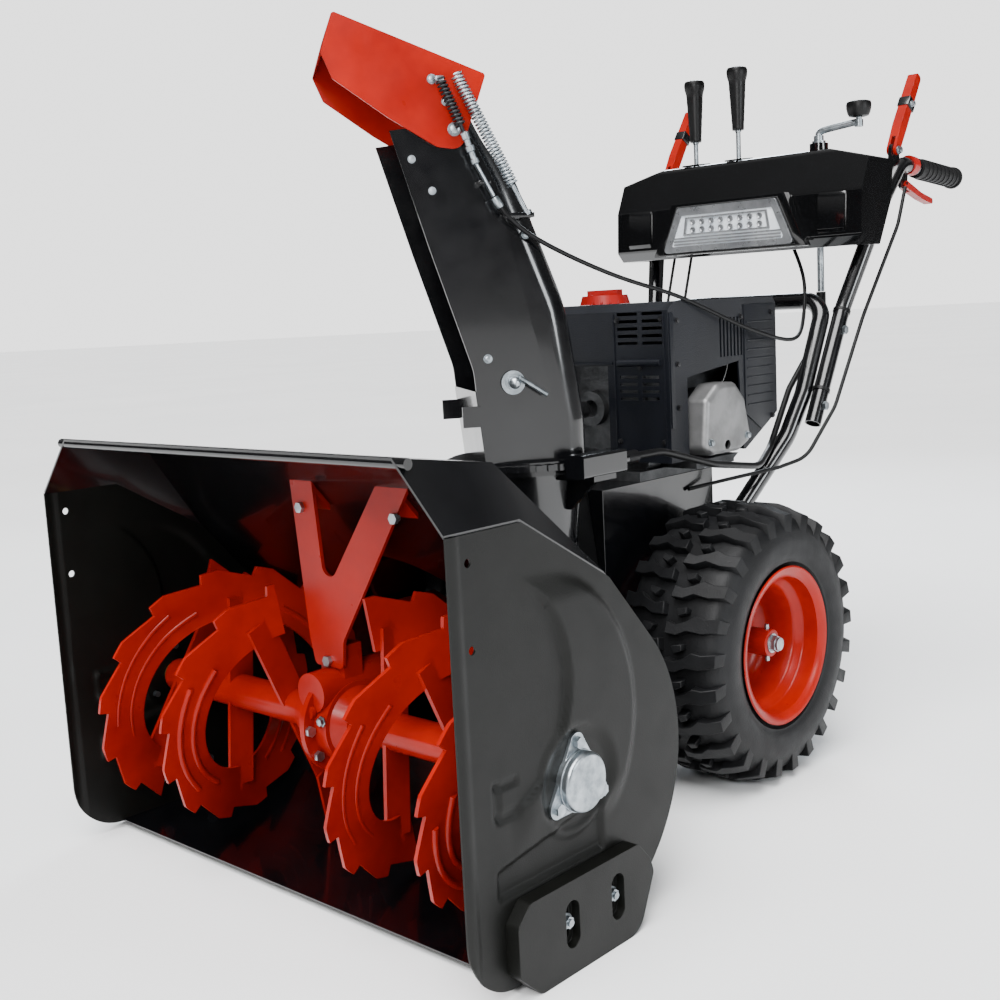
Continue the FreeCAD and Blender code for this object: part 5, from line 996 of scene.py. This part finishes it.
def make_cables():
    """The deflector's cable, run as one fixed tube from the chute to the frame and attached to no body, its
    nose and the handles' ties.
    """
    nose, second, leaves_chute = (chute_point(s, u, z) for s, u, z in (
        (45.6, SPRING_U, 834.2), (33, 103, 812), (20, 109, 790)))
    meets_frame = at(150, -170, 730)
    cable = tube("deflector_cable_run",
                 [nose, second, leaves_chute, meets_frame, at(160, -60, 712), at(176, 60, 664),
                  at(186, 170, 634), at(182, 240, 628), at(158, 300, 652), at(138, 344, 700),
                  at(118, 376, 742), at(84, 384, 800)], 3.0, None, "cable_black", ("deflector_cable",), 4)
    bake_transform(cable)
    lathe("deflector_cable_nose", ((3.2, 0), (4.6, 1), (4.6, 13), (3.4, 15)), nose, second - nose,
          "chute", "zinc", steps=20)
    for i, (side, y, z) in enumerate(((-1, 372, 672), (1, 372, 672), (-1, 300, 548), (1, 300, 548))):
        lathe(f"cable_tie_{i}", ((13.2, 0), (14.4, 0), (14.4, 5), (13.2, 5)),
              at(side * HANDLE_X, y - 2.5, z - 4.3), HANDLE_WAY, "frame", "black_plastic", closed=True,
              steps=32)


make_cables()


# ---------------------------------------------------------------- auger ribbons
FLIGHT_START, FLIGHT_END, FLIGHT_TURN = 84, 352, 330
BEAD_RADIUS, BEAD_STEPS = 4.6, 9
BEADS = ((124, 0.14, 0.42), (144, 0.18, 0.38), (124, 0.58, 0.86), (144, 0.62, 0.82))


def flight_point(side, phase, share, radius):
    """A point on an auger ribbon, share of the way along its screw."""
    turn = math.radians(phase - side * share * FLIGHT_TURN)
    return at(side * (FLIGHT_START + share * (FLIGHT_END - FLIGHT_START)),
              AUGER_Y + radius * math.cos(turn), AUGER_Z + radius * math.sin(turn))


def press_flights(name, side):
    """The stiffening beads pressed along the ribbons."""
    beads = []
    for phase in (100, 280):
        for radius, low, high in BEADS:
            points = [flight_point(side, phase, low + (high - low) * i / BEAD_STEPS, radius)
                      for i in range(BEAD_STEPS + 1)]
            beads.append(tube(f"bead_{len(beads)}", points, BEAD_RADIUS, "auger", "red_paint", (), 4))
    joined(f"auger_beads_{name}", beads, "auger", "red_paint")


for name, side in SIDES:
    press_flights(name, side)


# ---------------------------------------------------------------- gearcase plug
lathe("filler_plug", ((7, 0), (7, 1.5), (5.2, 2), (5.2, 6), (3, 6.6), (0, 6.6)), at(22, -636, 214), -Y,
      "frame", "zinc", steps=6)


# ---------------------------------------------------------------- room and light
SKY_STOPS = ((0.0, 0.9), (0.47, 0.75), (0.50, 0.05), (0.62, 0.035), (0.72, 0.30), (0.80, 0.06), (1.0, 0.55))
ROOM_WHITE = 2.3


def make_world():
    """A white room to the eye, and a darker one with bright bands for the enamel to reflect."""
    world = bpy.data.worlds.new("studio")
    world.use_nodes = True
    sky = Tree(world.node_tree)
    sky.tree.nodes.clear()
    up = sky.node("ShaderNodeSeparateXYZ", None, {0: sky.node("ShaderNodeTexCoord")}, output=2)
    dome = sky.node("ShaderNodeValToRGB", {"stops": SKY_STOPS}, {0: up * 0.5 + 0.5})
    seen = sky.node("ShaderNodeLightPath")
    strength = 1.0 + seen * (ROOM_WHITE - 1.0)
    colour = sky.node("ShaderNodeMix", {"data_type": "RGBA"}, {0: seen, 6: dome, 7: (1.0, 1.0, 1.0, 1)},
                      output=2)
    light = sky.node("ShaderNodeBackground", None, {"Color": colour, "Strength": strength})
    sky.node("ShaderNodeOutputWorld", None, {"Surface": light})
    bpy.context.scene.world = world


def make_sun(aim, power, spread):
    data = bpy.data.lights.new("sun", "SUN")
    data.energy, data.angle = power, math.radians(spread)
    sun = bpy.data.objects.new("sun", data)
    sun.rotation_euler = Vector(aim).to_track_quat("-Z", "Y").to_euler()
    bpy.context.scene.collection.objects.link(sun)


def make_floor():
    mesh = bpy.data.meshes.new("floor")
    mesh.from_pydata([(-60, -60, 0), (60, -60, 0), (60, 60, 0), (-60, 60, 0)], [], [(0, 1, 2, 3)])
    floor = bpy.data.objects.new("floor", mesh)
    floor.data.materials.append(floor_paint())
    bpy.context.scene.collection.objects.link(floor)


make_camera()
make_sun((-0.15, 0.45, -1.0), 7.0, 50)
make_light("key", (1.6, -2.6, 1.7), (0, -0.2, 0.4), 0.9, 60)
make_light("side", (3.2, 0.2, 1.2), (0.2, 0, 0.5), 1.0, 40, (0.93, 0.97, 1))
make_light("back", (-1.6, 2.4, 2.2), (0, 0.1, 0.6), 1.4, 60, (0.86, 0.93, 1))
make_world()
make_floor()
